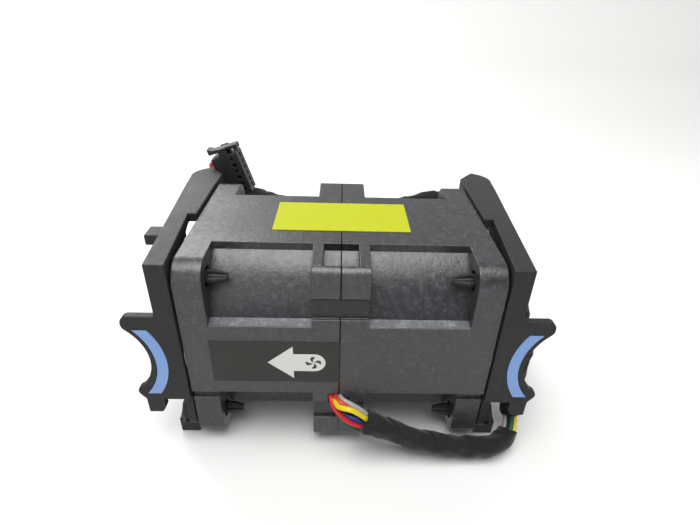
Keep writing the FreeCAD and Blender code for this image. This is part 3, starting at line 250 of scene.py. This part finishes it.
# puts a grid of points (rows by columns by xyz, in mm) into a mesh of quads; closed columns
# join the last to the first; uv is the same grid's run along and round; caps shut both ends
def gridMesh(name, points, closeColumns=False, uv=None, caps=False):
    rows, columns = points.shape[:2]
    index = np.arange(rows * columns).reshape(rows, columns)
    a, b = index[:-1], index[1:]
    if closeColumns:
        quads = np.stack([a, np.roll(a, -1, 1), np.roll(b, -1, 1), b], -1).reshape(-1, 4)
    else:
        quads = np.stack([a[:, :-1], a[:, 1:], b[:, 1:], b[:, :-1]], -1).reshape(-1, 4)
    faces = quads.tolist()
    if caps:
        faces += [index[0][::-1].tolist(), index[-1].tolist()]
    mesh = bpy.data.meshes.new(name)
    mesh.from_pydata((points.reshape(-1, 3) * mm).tolist(), [], faces)
    if uv is not None:
        layer = mesh.uv_layers.new(name="run")
        corner = np.zeros(len(mesh.loops), np.int32)
        mesh.loops.foreach_get("vertex_index", corner)
        flat = uv.reshape(-1, 2)[corner]
        if closeColumns:  # the last quad of a ring runs to 1, not back to 0
            ring = flat[: len(quads) * 4].reshape(-1, 4, 2)
            ring[..., 1] = np.where((ring[..., 1] < 0.25) & (ring[..., 1].max(1) > 0.75)[:, None],
                                    ring[..., 1] + 1, ring[..., 1])
            flat[: len(quads) * 4] = ring.reshape(-1, 2)
        layer.data.foreach_set("uv", flat.ravel())
    mesh.shade_smooth()
    piece = bpy.data.objects.new(name, mesh)
    bpy.context.scene.collection.objects.link(piece)
    return piece


# gives the piece its material and its body, and hides the nodes it stands for
def finish(piece, material, body, slot, *stands):
    piece.data.materials.append(material)
    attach(piece, body)
    if stands:
        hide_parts(*stands)
    return piece


# a NURBS line through control points given in mm, read back as many points
def smoothLine(name, controls, steps=12):
    curve = bpy.data.curves.new(name, "CURVE")
    curve.dimensions = "3D"
    curve.resolution_u = steps
    spline = curve.splines.new("NURBS")
    spline.points.add(len(controls) - 1)
    for dot, spot in zip(spline.points, controls):
        dot.co = (spot[0] * mm, spot[1] * mm, spot[2] * mm, 1)
    spline.order_u = 3
    spline.use_endpoint_u = True
    holder = bpy.data.objects.new(name, curve)
    bpy.context.scene.collection.objects.link(holder)
    mesh = bpy.data.meshes.new_from_object(holder)
    line = np.array([v.co[:] for v in mesh.vertices]) / mm
    bpy.data.objects.remove(holder)
    bpy.data.meshes.remove(mesh)
    return line


# evenly spaced points on a line, the way ahead at each, two ways across it that are carried
# along without twist, and how far along each point is
def carriedFrame(line, gap):
    steps = np.linalg.norm(np.diff(line, axis=0), axis=1)
    run = np.concatenate([[0], np.cumsum(steps)])
    count = max(8, int(run[-1] / gap))
    at = np.linspace(0, run[-1], count)
    spots = np.stack([np.interp(at, run, line[:, k]) for k in range(3)], 1)
    ahead = np.gradient(spots, axis=0)
    ahead /= np.linalg.norm(ahead, axis=1)[:, None]
    across = np.zeros_like(ahead)
    start = np.cross(ahead[0], [0, 0, 1.0])
    across[0] = start / np.linalg.norm(start)
    for k in range(1, count):
        side = across[k - 1] - ahead[k] * (across[k - 1] @ ahead[k])
        across[k] = side / np.linalg.norm(side)
    return spots, ahead, across, np.cross(ahead, across), at


# a tube: centre + radius * (across cos turn + up sin turn), where the radius is a number or
# a function of the run along the line and the turn round it
def tube(name, line, radius, gap, sides):
    spots, ahead, across, up, at = carriedFrame(line, gap)
    turn = np.linspace(0, 2 * math.pi, sides, endpoint=False)
    run, around = np.meshgrid(at, turn, indexing="ij")
    reach = radius(run, around) if callable(radius) else np.full(run.shape, radius)
    ring = (across[:, None] * np.cos(around)[..., None] + up[:, None] * np.sin(around)[..., None])
    points = spots[:, None] + ring * reach[..., None]
    uv = np.stack([run, around / (2 * math.pi)], -1)
    return gridMesh(name, points, closeColumns=True, uv=uv, caps=True), spots


# a copy of the node's mesh, merged and with its flat faces joined, then a fine bevel on the
# edges sharper than angle; its shading is weighed by area, so that large flats stay flat
edging = {"merge": 0.002, "flat": 0.6, "angle": 28, "segments": 2, "weight": 100,
          "plug": 0.07, "housing": 0.16, "bracket": 0.2}


def edged(node, material, slot, width, body="module"):
    mesh = nodes[node].data.copy()
    shell = bmesh.new()
    shell.from_mesh(mesh)
    bmesh.ops.remove_doubles(shell, verts=shell.verts, dist=edging["merge"] * mm)
    bmesh.ops.dissolve_limit(shell, angle_limit=math.radians(edging["flat"]),
                             verts=shell.verts, edges=shell.edges)
    shell.to_mesh(mesh)
    shell.free()
    mesh.materials.clear()
    mesh.shade_smooth()
    piece = bpy.data.objects.new("edged" + node.title().replace("_", ""), mesh)
    bpy.context.scene.collection.objects.link(piece)
    bevel = piece.modifiers.new("edge", "BEVEL")
    bevel.width, bevel.segments = width * mm, edging["segments"]
    bevel.limit_method, bevel.angle_limit = "ANGLE", math.radians(edging["angle"])
    bevel.use_clamp_overlap = False
    bevel.miter_outer = "MITER_ARC"
    even = piece.modifiers.new("evenFlats", "WEIGHTED_NORMAL")
    even.weight, even.keep_sharp = edging["weight"], True
    return finish(piece, material, body, slot, node)


# the harness: cloth tape wound over six wires, in mm. Each lap of tape is tapePitch long and
# steps down by tapeStep; wrinkle is the creases' depth; flare and fray loosen the first end,
# over a run of their own; partAt is where the tape parts over the bare wires
sleeve = {"radius": 2.1, "gap": 0.3, "sides": 40, "tapePitch": 8.2, "tapeStep": 0.3,
          "stepShare": 0.07, "wrinkle": 0.2, "flare": 0.3, "flareRun": 4.0, "fray": 0.10,
          "frayRun": 0.5, "sink": 0.1, "partAt": 34.2, "partHalf": 1.6, "partRadius": 1.0}
sleeveRoute = [
    (4.85, -25.5, 9.95), (12.3, -25.8, 6.5), (20.0, -26.0, 3.9), (26.8, -25.9, 3.1),
    (31.6, -25.7, 3.1), (35.2, -23.0, 3.9), (36.0, -18.6, 6.4), (36.4, -15.8, 11.6),
    (38.2, -13.6, 17.2), (38.8, -8.4, 21.2), (38.8, -1.8, 23.8), (39.0, 6.2, 26.4),
    (39.2, 13.4, 28.6), (39.1, 20.2, 30.2), (37.2, 26.4, 31.4), (32.4, 30.8, 32.2),
    (25.6, 32.4, 32.2), (18.4, 30.6, 31.0), (10.4, 28.0, 29.9), (1.8, 26.8, 29.3),
    (-6.6, 28.2, 29.1), (-14.4, 31.4, 29.4), (-21.4, 34.8, 30.1), (-27.6, 36.4, 30.9)]


# the tape's reach from the line: a saw-tooth of laps wound round it, plus three sine creases
# and the loose first end; where it parts, the reach drops to partRadius
def tapedRadius(run, around):
    phase = (run / sleeve["tapePitch"] - around / (2 * math.pi)) % 1.0
    stepAt = 1 - sleeve["stepShare"]
    lap = (1 - np.clip(phase / stepAt, 0, 1)
           + np.clip((phase - stepAt) / sleeve["stepShare"], 0, 1))
    crease = (np.sin(around * 3 + run * 0.55 + 1.3 * np.sin(run * 0.31))
              + 0.7 * np.sin(around * 5 - run * 0.83 + 0.9 * np.sin(run * 0.47 + 1))
              + 0.5 * np.sin(around * 2 + run * 1.7))
    crease /= 1 + 0.7 + 0.5
    mouth = sleeve["flare"] * np.exp(-run / sleeve["flareRun"])
    edge = sleeve["fray"] * np.exp(-run / sleeve["frayRun"]) * np.sin(around * 7 + 1)
    reach = (sleeve["radius"] + sleeve["tapeStep"] * (lap - 0.5)
             + sleeve["wrinkle"] * crease + mouth + edge - sleeve["sink"])
    away = np.abs(run - sleeve["partAt"] - 0.5 * np.sin(around)) - sleeve["partHalf"]
    return np.where(away < 0, sleeve["partRadius"], reach)


# cloth tape: a fine weave of threads along and across it, a fluff over them, and a broad
# cloud of lint; the pattern follows the sleeve, in mm
def clothTape(threadScale=1.15):
    bench = Bench("clothTape", Sheen_Weight=0.2, Sheen_Roughness=0.5, Specular_IOR_Level=0.25)
    run = bench.add("ShaderNodeUVMap", {"uv_map": "run"})
    parts = bench.add("ShaderNodeSeparateXYZ", None, {0: run})
    along, aside = parts.of("X"), parts.of("Y") * (2 * math.pi * sleeve["radius"])
    spot = bench.add("ShaderNodeCombineXYZ", None, {0: along, 1: aside})
    warp, weft = (bench.add("ShaderNodeTexWave", {"bands_direction": way},
                            {"Vector": spot, "Scale": threadScale}) for way in ("X", "Y"))
    cloud = bench.noise(spot, 0.5, 4)
    fluff = bench.noise(spot, 9.0, 5, 0.75)
    weave = warp * weft
    tone = bench.blend(weave * 0.5 + fluff * 0.5, (0.005, 0.005, 0.0055), (0.019, 0.019, 0.020))
    tone = bench.blend(bench.between(cloud, 0.5, 0.8) * 0.4, tone, (0.027, 0.027, 0.028))
    return bench.done(Base_Color=tone, Roughness=0.72 + fluff * 0.2,
                      Normal=bench.bump(weave + fluff * 0.8, 0.05 * mm, 0.8))


tapeCloth = clothTape()
sleeveLine = smoothLine("sleeveLine", sleeveRoute)
sleevePiece, sleeveSpots = tube("harnessSleeve", sleeveLine, tapedRadius, sleeve["gap"],
                                sleeve["sides"])
finish(sleevePiece, tapeCloth, "module", "sleeve_cloth", "harness_sleeve")
print("sleeve made, points", len(sleeveSpots))


# a wire's jacket: soft vinyl whose colour is dimmed by a cloud, under a faint coat
def wireJacket(name, colour):
    bench = Bench(name, Coat_Weight=0.15, Coat_Roughness=0.2)
    cloud = bench.noise(bench.place(), 500, 3)
    shade = tuple(c * 0.7 for c in colour)
    tone = bench.blend(bench.between(cloud, 0.4, 0.8) * 0.6, colour, shade)
    return bench.done(Base_Color=tone, Roughness=0.34 + cloud * 0.12,
                      Normal=bench.bump(cloud, 0.02 * mm, 0.4))


jackets = {name: wireJacket("jacket" + name, colour) for name, colour in {
    "Red": (0.60, 0.018, 0.022), "Orange": (0.66, 0.05, 0.02), "Yellow": (0.80, 0.62, 0.004),
    "Blue": (0.012, 0.03, 0.26), "Grey": (0.40, 0.38, 0.385),
    "Green": (0.008, 0.10, 0.06)}.items()}

# the six lead wires, each laid through listed points from the channel under the intake motor
# to inside the tape
leads = {"radius": 0.5, "gap": 0.35, "sides": 16, "lines": {
    "Red": [(-1.32, -16.7, 16), (-1.5, -21.4, 14), (-1.55, -22.6, 13.6), (-1.46, -23.5, 13.58),
            (-1.09, -24.3, 12.83), (-0.33, -25.1, 11.98), (0.85, -25.8, 11.12),
            (1.95, -26.2, 10.41), (3.06, -26.3, 9.85), (4.39, -26.2, 9.16), (5.75, -26, 8.48)],
    "Orange": [(0, -16.7, 16.3), (-0.5, -21.4, 14.2), (-0.6, -22.6, 13.7), (-0.49, -23.5, 13.86),
               (-0.1, -24.2, 13.92), (0.48, -24.7, 13.83), (1.2, -25, 13.5), (2.36, -25.2, 12.82),
               (3.71, -25.4, 12), (5.47, -25.6, 10.82)],
    "Grey": [(1.32, -16.7, 16.3), (0.5, -21.2, 14.3), (0.25, -22.4, 13.8), (0.3, -23.3, 13.77),
             (0.74, -23.9, 13.88), (1.37, -24.3, 13.78), (2.55, -24.8, 13.43),
             (3.8, -25.1, 12.81), (4.86, -25.2, 11.87), (6.08, -25.1, 10.53)],
    "Yellow": [(-0.5, -16.1, 15.1), (-0.95, -21.2, 13.2), (-0.85, -22.6, 12.7),
               (-0.67, -23.8, 13.64), (-0.49, -24.7, 13.65), (-0.04, -25.6, 13.74),
               (0.92, -26.3, 14.13), (2.11, -26.7, 14.28), (3.19, -26.7, 13.68),
               (4.32, -26.5, 12.55), (5.65, -26, 10.73)],
    "Blue": [(0.66, -16.1, 15.1), (-0.2, -21, 13.2), (-0.5, -22.2, 12.4), (-0.66, -23.5, 12.5),
             (-0.01, -24.3, 11.75), (1.12, -25, 11.12), (2.35, -25.6, 10.91),
             (3.57, -25.9, 10.69), (4.55, -25.9, 10.21), (5.71, -25.8, 9.52)],
    "Green": [(1.32, -16.1, 15.1), (0.5, -20.6, 12.9), (-0.2, -21.8, 11.8), (-0.8, -23, 11.4),
              (-0.49, -23.6, 10.96), (0.31, -24.2, 9.69), (1.51, -24.8, 8.53),
              (2.81, -25.3, 7.77), (3.88, -25.4, 7.39), (4.76, -25.4, 7.17), (5.85, -25.3, 7)]}}
wirePieces = []
for colour, places in leads["lines"].items():
    line = smoothLine("leadLine", places)
    piece, _ = tube("lead" + colour, line, leads["radius"], leads["gap"], leads["sides"])
    wirePieces.append(finish(piece, jackets[colour], "module", "wire_jacket"))
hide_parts("lead_wires")

# where the tape parts, three of the wires inside it show: each keeps its own side
barePart = {"radius": 0.5, "gap": 0.3, "sides": 12, "out": 1.05, "tucked": 1.2,
            "turns": {"Grey": 3.8, "Green": 5.2, "Yellow": 6.1}}
spots, ahead, across, up, at = carriedFrame(sleeveLine, sleeve["gap"])
window = np.abs(at - sleeve["partAt"]) < sleeve["partHalf"] + barePart["tucked"]
for colour, turn in barePart["turns"].items():
    side = across[window] * math.cos(turn) + up[window] * math.sin(turn)
    piece, _ = tube("bare" + colour, spots[window] + side * barePart["out"],
                    barePart["radius"], barePart["gap"], barePart["sides"])
    wirePieces.append(finish(piece, jackets[colour], "module", "wire_jacket"))

# the tail: six wires from the sleeve's end round a loop and into the plug, as three pairs
# that spread until each is level with its own way; start and end are tucked inside the tape
# and the plug, whose tilt and middle are the solid's
tails = {"radius": 0.55, "gap": 0.3, "sides": 16, "pitch": 1.3, "run": 1.9, "way": 1.6,
         "start": 1.2, "end": 0.4, "tilt": 18, "plug": (-27.2, 26.1, 40.3), "plugHalf": 3.3,
         "colours": ["Green", "Blue", "Yellow", "Grey", "Orange", "Red"],
         "loop": [(-27.6, 36.4, 30.9), (-30.4, 37.1, 31.3), (-33.0, 35.6, 32.4),
                  (-33.9, 32.4, 34.2), (-33.2, 28.9, 36.4)]}
tilt = math.radians(tails["tilt"])
plugAhead = np.array([math.cos(tilt), 0, math.sin(tilt)])
plugUp = np.array([-math.sin(tilt), 0, math.cos(tilt)])
plugMouth = np.array(tails["plug"]) - plugAhead * tails["plugHalf"]
middle = np.array(tails["loop"] + [plugMouth - plugAhead * tails["run"]])
startWay = middle[1] - middle[0]
startWay /= np.linalg.norm(startWay)
startSide = np.cross(startWay, [0, 0, 1.0])
startSide /= np.linalg.norm(startSide)
startUp = np.cross(startSide, startWay)


# wire k starts at its place in a bundle three high and two wide, and ends level with way k
def tailLine(k):
    left, level = 0.5 - k % 2, k // 2 - 1
    height = (k - (len(tails["colours"]) - 1) / 2) * tails["way"]
    bundle = startSide * tails["pitch"] * left + startUp * tails["pitch"] * level
    places = [middle[0] + bundle - startWay * tails["start"], middle[0] + bundle]
    for n in range(1, len(middle) - 1):
        share = n / (len(middle) - 1)
        along = middle[n + 1] - middle[n - 1]
        along /= np.linalg.norm(along)
        rise = startUp * (1 - share) + plugUp * share
        rise -= along * (rise @ along)
        rise /= np.linalg.norm(rise)
        places.append(middle[n] + np.cross(along, rise) * tails["pitch"] * left
                      + rise * (tails["pitch"] * level * (1 - share) + height * share))
    mouth = plugMouth + plugUp * height
    return places + [mouth - plugAhead * (tails["run"] + tails["pitch"] * left),
                     mouth + plugAhead * tails["end"]]


for k, colour in enumerate(tails["colours"]):
    piece, _ = tube("tail" + colour, smoothLine("tailLine", tailLine(k)), tails["radius"],
                    tails["gap"], tails["sides"])
    wirePieces.append(finish(piece, jackets[colour], "module", "wire_jacket"))
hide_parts("connector_tail")  # the first wire of the tail
plug = [edged("connector_housing", plugPlastic, "plug_plastic", edging["plug"]),
        edged("connector_latch", plugPlastic, "plug_plastic", edging["plug"], "latch")]
sleeveSpots * mm
wirePieces + plug + [nodes["connector_terminals"]]
print("wires and plug made", len(wirePieces))

for node in ("intake_housing", "exhaust_housing"):
    edged(node, housingPlastic, "housing_plastic", edging["housing"])
for node in ("right_bracket", "left_bracket"):
    edged(node, bracketPlastic, "bracket_plastic", edging["bracket"])
print("housings and brackets dressed")

# the barrel's shoulders: in the front recesses an arc swells from the top sheet's lower edge
# round to the ledge, a little outside the bore's wall, and shows in the lug's window too;
# mid is its centre from the shaft's axis, lean the turn from upright in degrees
shoulder = {"axis": (-3.0, 22.2), "mid": (-0.62, 3.95), "radius": 17.7, "lean": (34.7, 75.7),
            "from": 0.05, "to": 23.0, "columns": 4, "steps": 24}
for side, hand in (("Right", 1), ("Left", -1)):
    x, lean = np.meshgrid(np.linspace(shoulder["from"], shoulder["to"], shoulder["columns"]),
                          np.radians(np.linspace(*shoulder["lean"], shoulder["steps"])),
                          indexing="ij")
    y = shoulder["axis"][0] + shoulder["mid"][0] - shoulder["radius"] * np.sin(lean)
    z = shoulder["axis"][1] + shoulder["mid"][1] + shoulder["radius"] * np.cos(lean)
    finish(gridMesh("shoulder" + side, np.stack([x * hand, y, z], -1)[::-hand]),
           housingPlastic, "module", "housing_plastic")
print("shoulders made")

# the dark line where the housing's halves meet: narrow strips on the outer faces, each along
# a straight run or a round in the plane of the seam. A run is two places (y, z), and a round
# its middle, radius and first and last turn in degrees; the strip stands off by lift
seam = {"half": 0.115, "lift": 0.006, "steps": 12,
        "straight": [((15.1, 42.2), (-13.7, 42.2)), ((-13.7, 42.2), (-13.7, 40.7)),
                     ((-23.0, 40.3), (-23.0, 36.5)), ((-23.0, 32.1), (-23.0, 14.2)),
                     ((-13.7, 2.2), (7.7, 2.2)), ((17.0, 12.3), (17.0, 32.1)),
                     ((17.0, 36.5), (17.0, 40.3))],
        "rounds": [((15.1, 40.3), 1.9, 0, 90), ((-21.1, 40.3), 1.9, 90, 180),
                   ((-3.62, 26.15), 17.7, 124.7, 150)]}
seamShade = satinFilm("seamShade", (0.003, 0.003, 0.003), (0.005, 0.005, 0.005), 0.9)


# the line's two edges, half to each side of the seam, moved out square to its way
def seamStrip(n, line):
    line = np.asarray(line, float)
    way = np.gradient(line, axis=0)
    inward = np.stack([-way[:, 1], way[:, 0]], 1) / np.linalg.norm(way, axis=1)[:, None]
    line = line - inward * seam["lift"]
    x = np.array([seam["half"], -seam["half"]])
    points = np.stack([np.broadcast_to(x, (len(line), 2)), np.repeat(line[:, :1], 2, 1),
                       np.repeat(line[:, 1:], 2, 1)], -1)
    finish(gridMesh(f"seamLine{n}", points), seamShade, "module", "housing_plastic")


for n, run in enumerate(seam["straight"], 1):
    seamStrip(n, run)
for n, (mid, reach, first, last) in enumerate(seam["rounds"], len(seam["straight"]) + 1):
    turn = np.radians(np.linspace(first, last, seam["steps"]))
    seamStrip(n, np.asarray(mid) + reach * np.stack([np.cos(turn), np.sin(turn)], 1))

# the ledge under each front recess, scuffed and painted bright as a highlight where it slopes
# out from the barrel: its height falls from rise to nothing as a power of the share of its
# depth, and sines scuff it
ledge = {"from": 5.0, "to": 23.0, "inner": -20.75, "outer": -22.86, "level": 30.52,
         "rise": 0.2, "fall": 1.6, "scuff": 0.03, "ripples": (5.1, 1.7, 0.83), "across": 3.1,
         "steps": (90, 9)}
# its pale colour and bright streaks are a painted highlight laid over real scuffs
ledgeWearAndHighlight = mouldedPlastic("rubbedLedge", {
    **housingLook, "colour": (0.15, 0.155, 0.165), "light": (0.5, 0.51, 0.53),
    "dust": (0.08, 0.08, 0.085), "cloudScale": 300, "grainScale": 900, "rub": 0.7,
    "rough": 0.3, "depth": 0.02, "recessShade": 0.0})
for side, hand in (("Right", 1), ("Left", -1)):
    x, share = np.meshgrid(np.linspace(ledge["from"], ledge["to"], ledge["steps"][0]),
                           np.linspace(0, 1, ledge["steps"][1]), indexing="ij")
    y = ledge["inner"] + (ledge["outer"] - ledge["inner"]) * share
    fine, middling, broad = (x * ripple for ripple in ledge["ripples"])
    scuff = ledge["scuff"] * (np.sin(fine + hand) * np.sin(middling) + np.sin(broad))
    z = (ledge["level"] + ledge["scuff"] + ledge["rise"] * (1 - share) ** ledge["fall"]
         + scuff * np.sin(share * ledge["across"]))
    points = np.stack([x * hand, y, z], -1)
    finish(gridMesh("rubbedLedge" + side, points[::hand]), ledgeWearAndHighlight, "module", "housing_plastic")

# the sunk face under the lug's round gets a sheet of painted shade: darker, and without streaks
paintedSunkShade = mouldedPlastic("paintedSunkShade", {
    **housingLook, "colour": (0.012, 0.012, 0.014), "light": (0.05, 0.05, 0.055),
    "dust": (0.02, 0.02, 0.022), "rub": 0.0, "recessShade": 0.0})
sunk = {"half": 4.9, "low": 32.2, "high": 35.95, "front": -22.32}
x, z = np.meshgrid([-sunk["half"], sunk["half"]], [sunk["low"], sunk["high"]], indexing="ij")
finish(gridMesh("sunkShadeSheet", np.stack([x, np.full_like(x, sunk["front"]), z], -1)[::-1]),
       paintedSunkShade, "module", "housing_plastic")
print("seam, ledges and sunk face made")

# a push-in pin turned about x: a head with a shallow ring sunk in it, a neck, and a barb cut
# to four fins. head, neck, barb, tip and ring are radii; the barb stays full over land, then
# tapers (how far along, what share of the way from tip to barb) to its end at long; gap is
# the share of the radius that the gaps between the fins take
pinShape = {"head": 2.6, "headHigh": 1.1, "bevel": 0.25, "ring": (1.2, 1.35, 1.6, 1.75),
            "ringDeep": 0.2, "neck": 1.3, "barb": 1.45, "land": 0.8, "long": 3.4, "tip": 0.75,
            "taper": ((1.6, 0.78), (2.5, 0.4)), "eased": 0.05, "middle": 0.02, "gap": 0.5,
            "finFrom": 0.72, "finEase": 0.14, "sides": 64}


# the profile is (x, radius, how deep the gaps go there), from the head's middle to the tip:
# floor is what the head sits on, flange the face that the barb grips behind
def pin(name, place, hand, floor, flange, *stands):
    head, neck, barb, tip, gap, bevel = (pinShape[k] for k in (
        "head", "neck", "barb", "tip", "gap", "bevel"))
    top, end = floor + pinShape["headHigh"], flange - pinShape["long"]
    sunken, rings = top - pinShape["ringDeep"], pinShape["ring"]
    middle, eased = pinShape["middle"], pinShape["eased"]
    taper = [(flange - far, tip + (barb - tip) * share, gap) for far, share in pinShape["taper"]]
    profile = np.array([
        (top, middle, 0), (top, rings[0], 0), (sunken, rings[1], 0), (sunken, rings[2], 0),
        (top, rings[3], 0), (top, head - bevel, 0), (top - bevel, head, 0),
        (floor + eased, head, 0), (floor, head - eased, 0), (floor, neck, 0),
        (flange + 0.02, neck, 0), (flange, neck + 0.02, 0),
        (flange, barb - 0.08, gap * 0.3), (flange - 0.1, barb, gap),
        (flange - pinShape["land"], barb, gap), *taper,
        (end + 0.1, tip, gap * 0.8), (end, tip - 0.12, gap * 0.6), (end, middle, 0)])
    turn = np.linspace(0, 2 * math.pi, pinShape["sides"], endpoint=False)
    fin = np.clip((np.abs(np.cos(2 * turn)) - pinShape["finFrom"]) / pinShape["finEase"], 0, 1)
    x, radius, depth = (profile[:, k, None] for k in range(3))
    reach = radius * (1 - depth * (1 - fin))
    points = np.stack([np.broadcast_to(x, reach.shape) * hand, place[0] + reach * np.cos(turn),
                       place[1] + reach * np.sin(turn)], -1)
    piece = gridMesh(name, points[:, ::hand], closeColumns=True, caps=True)
    piece.data.shade_flat()
    return finish(piece, bracketPlastic, "module", "bracket_plastic", *stands)


# where the pins go: the bracket stands off the module's end by gap, its web is thicker at
# the rear and slants out by slant degrees at the front, where the pins lie behind its
# edge, and each head sits in a recess with slack under it; flange is where the barb grips
pinSeat = {"end": 28.0, "gap": 0.2, "frontWeb": 1.8, "rearWeb": 2.0, "recess": 0.3,
           "slack": 0.1, "slant": 4.8, "behind": 4.5, "flange": 22.9,
           "front": -19, "rear": 13, "levels": (6.2, 38.2)}
seatLevel = pinSeat["end"] + pinSeat["gap"] - pinSeat["recess"] + pinSeat["slack"]
slanted = pinSeat["behind"] * math.tan(math.radians(pinSeat["slant"]))
floors = {"front": seatLevel + pinSeat["frontWeb"] + slanted,
          "rear": seatLevel + pinSeat["rearWeb"]}
for hand, side in ((1, "right"), (-1, "left")):
    corners = [(edge, z) for edge in floors for z in pinSeat["levels"]]
    for n, (edge, z) in enumerate(corners):
        stands = [f"{side}_mount_pins"] if n == 0 else []
        pin(f"{side}Pin{n + 1}", (pinSeat[edge], z), hand, floors[edge], pinSeat["flange"],
            *stands)
print("pins made")

# what stays as the solid is: its node is painted as it stands
plain = {
    "right_touch_pad": touchBlue, "left_touch_pad": touchBlue,
    "rating_label": labelYellow, "airflow_label": labelDark, "connector_terminals": tin}
perMotor = {
    "bearing_tube": brass, "front_bearing": steel, "rear_bearing": steel,
    "stator_core": lamination, "stator_insulator": nylon, "windings": copper,
    "circuit_board": board, "impeller": bladePlastic, "rotor_yoke": pressedSteel,
    "magnet_ring": magnetGrey, "shaft": steel, "retaining_ring": steel,
    "preload_washer": steel}
for side in ("intake", "exhaust"):
    plain.update({f"{side}_{name}": material for name, material in perMotor.items()})
for node, material in plain.items():
    nodes[node].data.materials.clear()
    nodes[node].data.materials.append(material)
print("other nodes painted")


# a flat outline, in mm on its own plane, filled and lifted off the label's face
def printed(name, corners, place, across, up, material, slot, lift):
    corners = np.asarray(corners, float)
    spots = (np.asarray(place) + corners[:, :1] * np.asarray(across)
             + corners[:, 1:] * np.asarray(up) + np.cross(across, up) * lift)
    shell = bmesh.new()
    ring = [shell.verts.new(spot * mm) for spot in spots]
    shell.faces.new(ring)
    bmesh.ops.triangulate(shell, faces=shell.faces)
    mesh = bpy.data.meshes.new(name)
    shell.to_mesh(mesh)
    shell.free()
    piece = bpy.data.objects.new(name, mesh)
    bpy.context.scene.collection.objects.link(piece)
    return finish(piece, material, "module", slot)


low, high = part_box("airflow_label")
labelFront = low.y / mm
labelMid = (low.z + high.z) / 2 / mm
flowPlane = ((0, labelFront, labelMid), (1, 0, 0), (0, 0, 1))

# the arrow's outline: a point, a neck, and a body with a round end
arrow = {"tip": -13.1, "neck": -8.4, "end": -4.6, "headHalf": 3.8, "bodyHalf": 2.05,
         "steps": 24, "lift": 0.03}
bend = np.linspace(-math.pi / 2, math.pi / 2, arrow["steps"])
roundEnd = np.stack([arrow["end"] + arrow["bodyHalf"] * np.cos(bend),
                     arrow["bodyHalf"] * np.sin(bend)], 1)
arrowLine = np.concatenate([[[arrow["tip"], 0], [arrow["neck"], -arrow["headHalf"]],
                             [arrow["neck"], -arrow["bodyHalf"]]], roundEnd,
                            [[arrow["neck"], arrow["bodyHalf"]],
                             [arrow["neck"], arrow["headHalf"]]]])
printed("airflowArrow", arrowLine, *flowPlane, printWhite, "label_black", arrow["lift"])

# the small fan on the arrow: each blade is a wedge that widens outwards as the root of the
# share of its length, leans over, and rounds off at the tip by a high power of that share
mark = {"count": 4, "inner": 0.1, "reach": 1.45, "centre": -4.75, "lean": 0.75, "half": 0.42,
        "least": 0.02, "round": 7, "steps": 14, "lift": 0.05}
share = np.linspace(0, 1, mark["steps"])
radius = mark["inner"] + (mark["reach"] - mark["inner"]) * share
rounded = np.sqrt(np.clip(1 - share ** mark["round"], 0, 1))
spread = mark["half"] * np.sqrt(share) * rounded + mark["least"]
for k in range(mark["count"]):
    turn = mark["lean"] * (1 - share) + k * 2 * math.pi / mark["count"]
    angles = np.concatenate([turn - spread, (turn + spread)[::-1]])
    reaches = np.concatenate([radius, radius[::-1]])
    blade = np.stack([mark["centre"] + reaches * np.cos(angles), reaches * np.sin(angles)], 1)
    printed(f"fanMark{k + 1}", blade, *flowPlane, printDark, "label_black", mark["lift"])
print("airflow print made")


# a pale floor that also glows faintly where metal and plastic mirror it
ground = {"colour": (0.86, 0.86, 0.85), "rough": 0.7, "glow": 0.45, "share": 0.8,
          "half": 700, "columns": 9, "sink": 0.02}


def whiteGround():
    bench = Bench("whiteGround", Base_Color=ground["colour"], Roughness=ground["rough"])
    rays = bench.add("ShaderNodeLightPath")
    seen = rays.sum("MAXIMUM", rays.of("Is Glossy Ray"), rays.of("Is Transmission Ray"))
    glow = bench.add("ShaderNodeEmission", None,
                     {"Color": (1, 1, 1), "Strength": ground["glow"]})
    mix = bench.add("ShaderNodeMixShader", None, {0: seen * ground["share"], 2: glow})
    bench.tree.links.new(bench.shader.outputs[0], mix.node.inputs[1])
    bench.tree.links.new(mix.out, bench.tree.nodes["Material Output"].inputs[0])
    return bench.material


# the floor runs back level and then curves up into a wall
groundLine = np.array([(-700, 0), (0, 0), (200, 0), (260, 6), (300, 30), (330, 90), (338, 200),
                       (340, 600)], float)
y, x = np.meshgrid(groundLine[:, 0],
                   np.linspace(-ground["half"], ground["half"], ground["columns"]),
                   indexing="ij")
z = np.broadcast_to(groundLine[:, 1:], x.shape) - ground["sink"]
floor = gridMesh("studioFloor", np.stack([x, y, z], -1)[:, ::-1])
floor.data.materials.append(whiteGround())

# lamps: where each stands and what it looks at in mm, its size in mm, its power
lamps = {"topLamp": ((-60, -150, 620), (0, -10, 0), 480, 4.2),
         "backLamp": ((-170, 310, 200), (0, 0, 30), 200, 0.6),
         "frontLamp": ((-160, -520, 260), (0, -40, 0), 300, 0.3),
         "sideLamp": ((420, -60, 260), (0, 0, 20), 260, 0.15)}
for name, (spot, aim, size, power) in lamps.items():
    lamp = bpy.data.lights.new(name, "AREA")
    lamp.energy, lamp.size = power, size * mm
    holder = bpy.data.objects.new(name, lamp)
    turn = (Vector(spot) - Vector(aim)).to_track_quat("Z", "Y")
    holder.matrix_world = Matrix.Translation(Vector(spot) * mm) @ turn.to_matrix().to_4x4()
    bpy.context.scene.collection.objects.link(holder)

studioLevel = 0.25
world = bpy.data.worlds.new("studioAir")
world.use_nodes = True
air = world.node_tree.nodes["Background"]
air.inputs["Color"].default_value = (1, 1, 1, 1)
air.inputs["Strength"].default_value = studioLevel
bpy.context.scene.world = world
print("floor and lamps set")
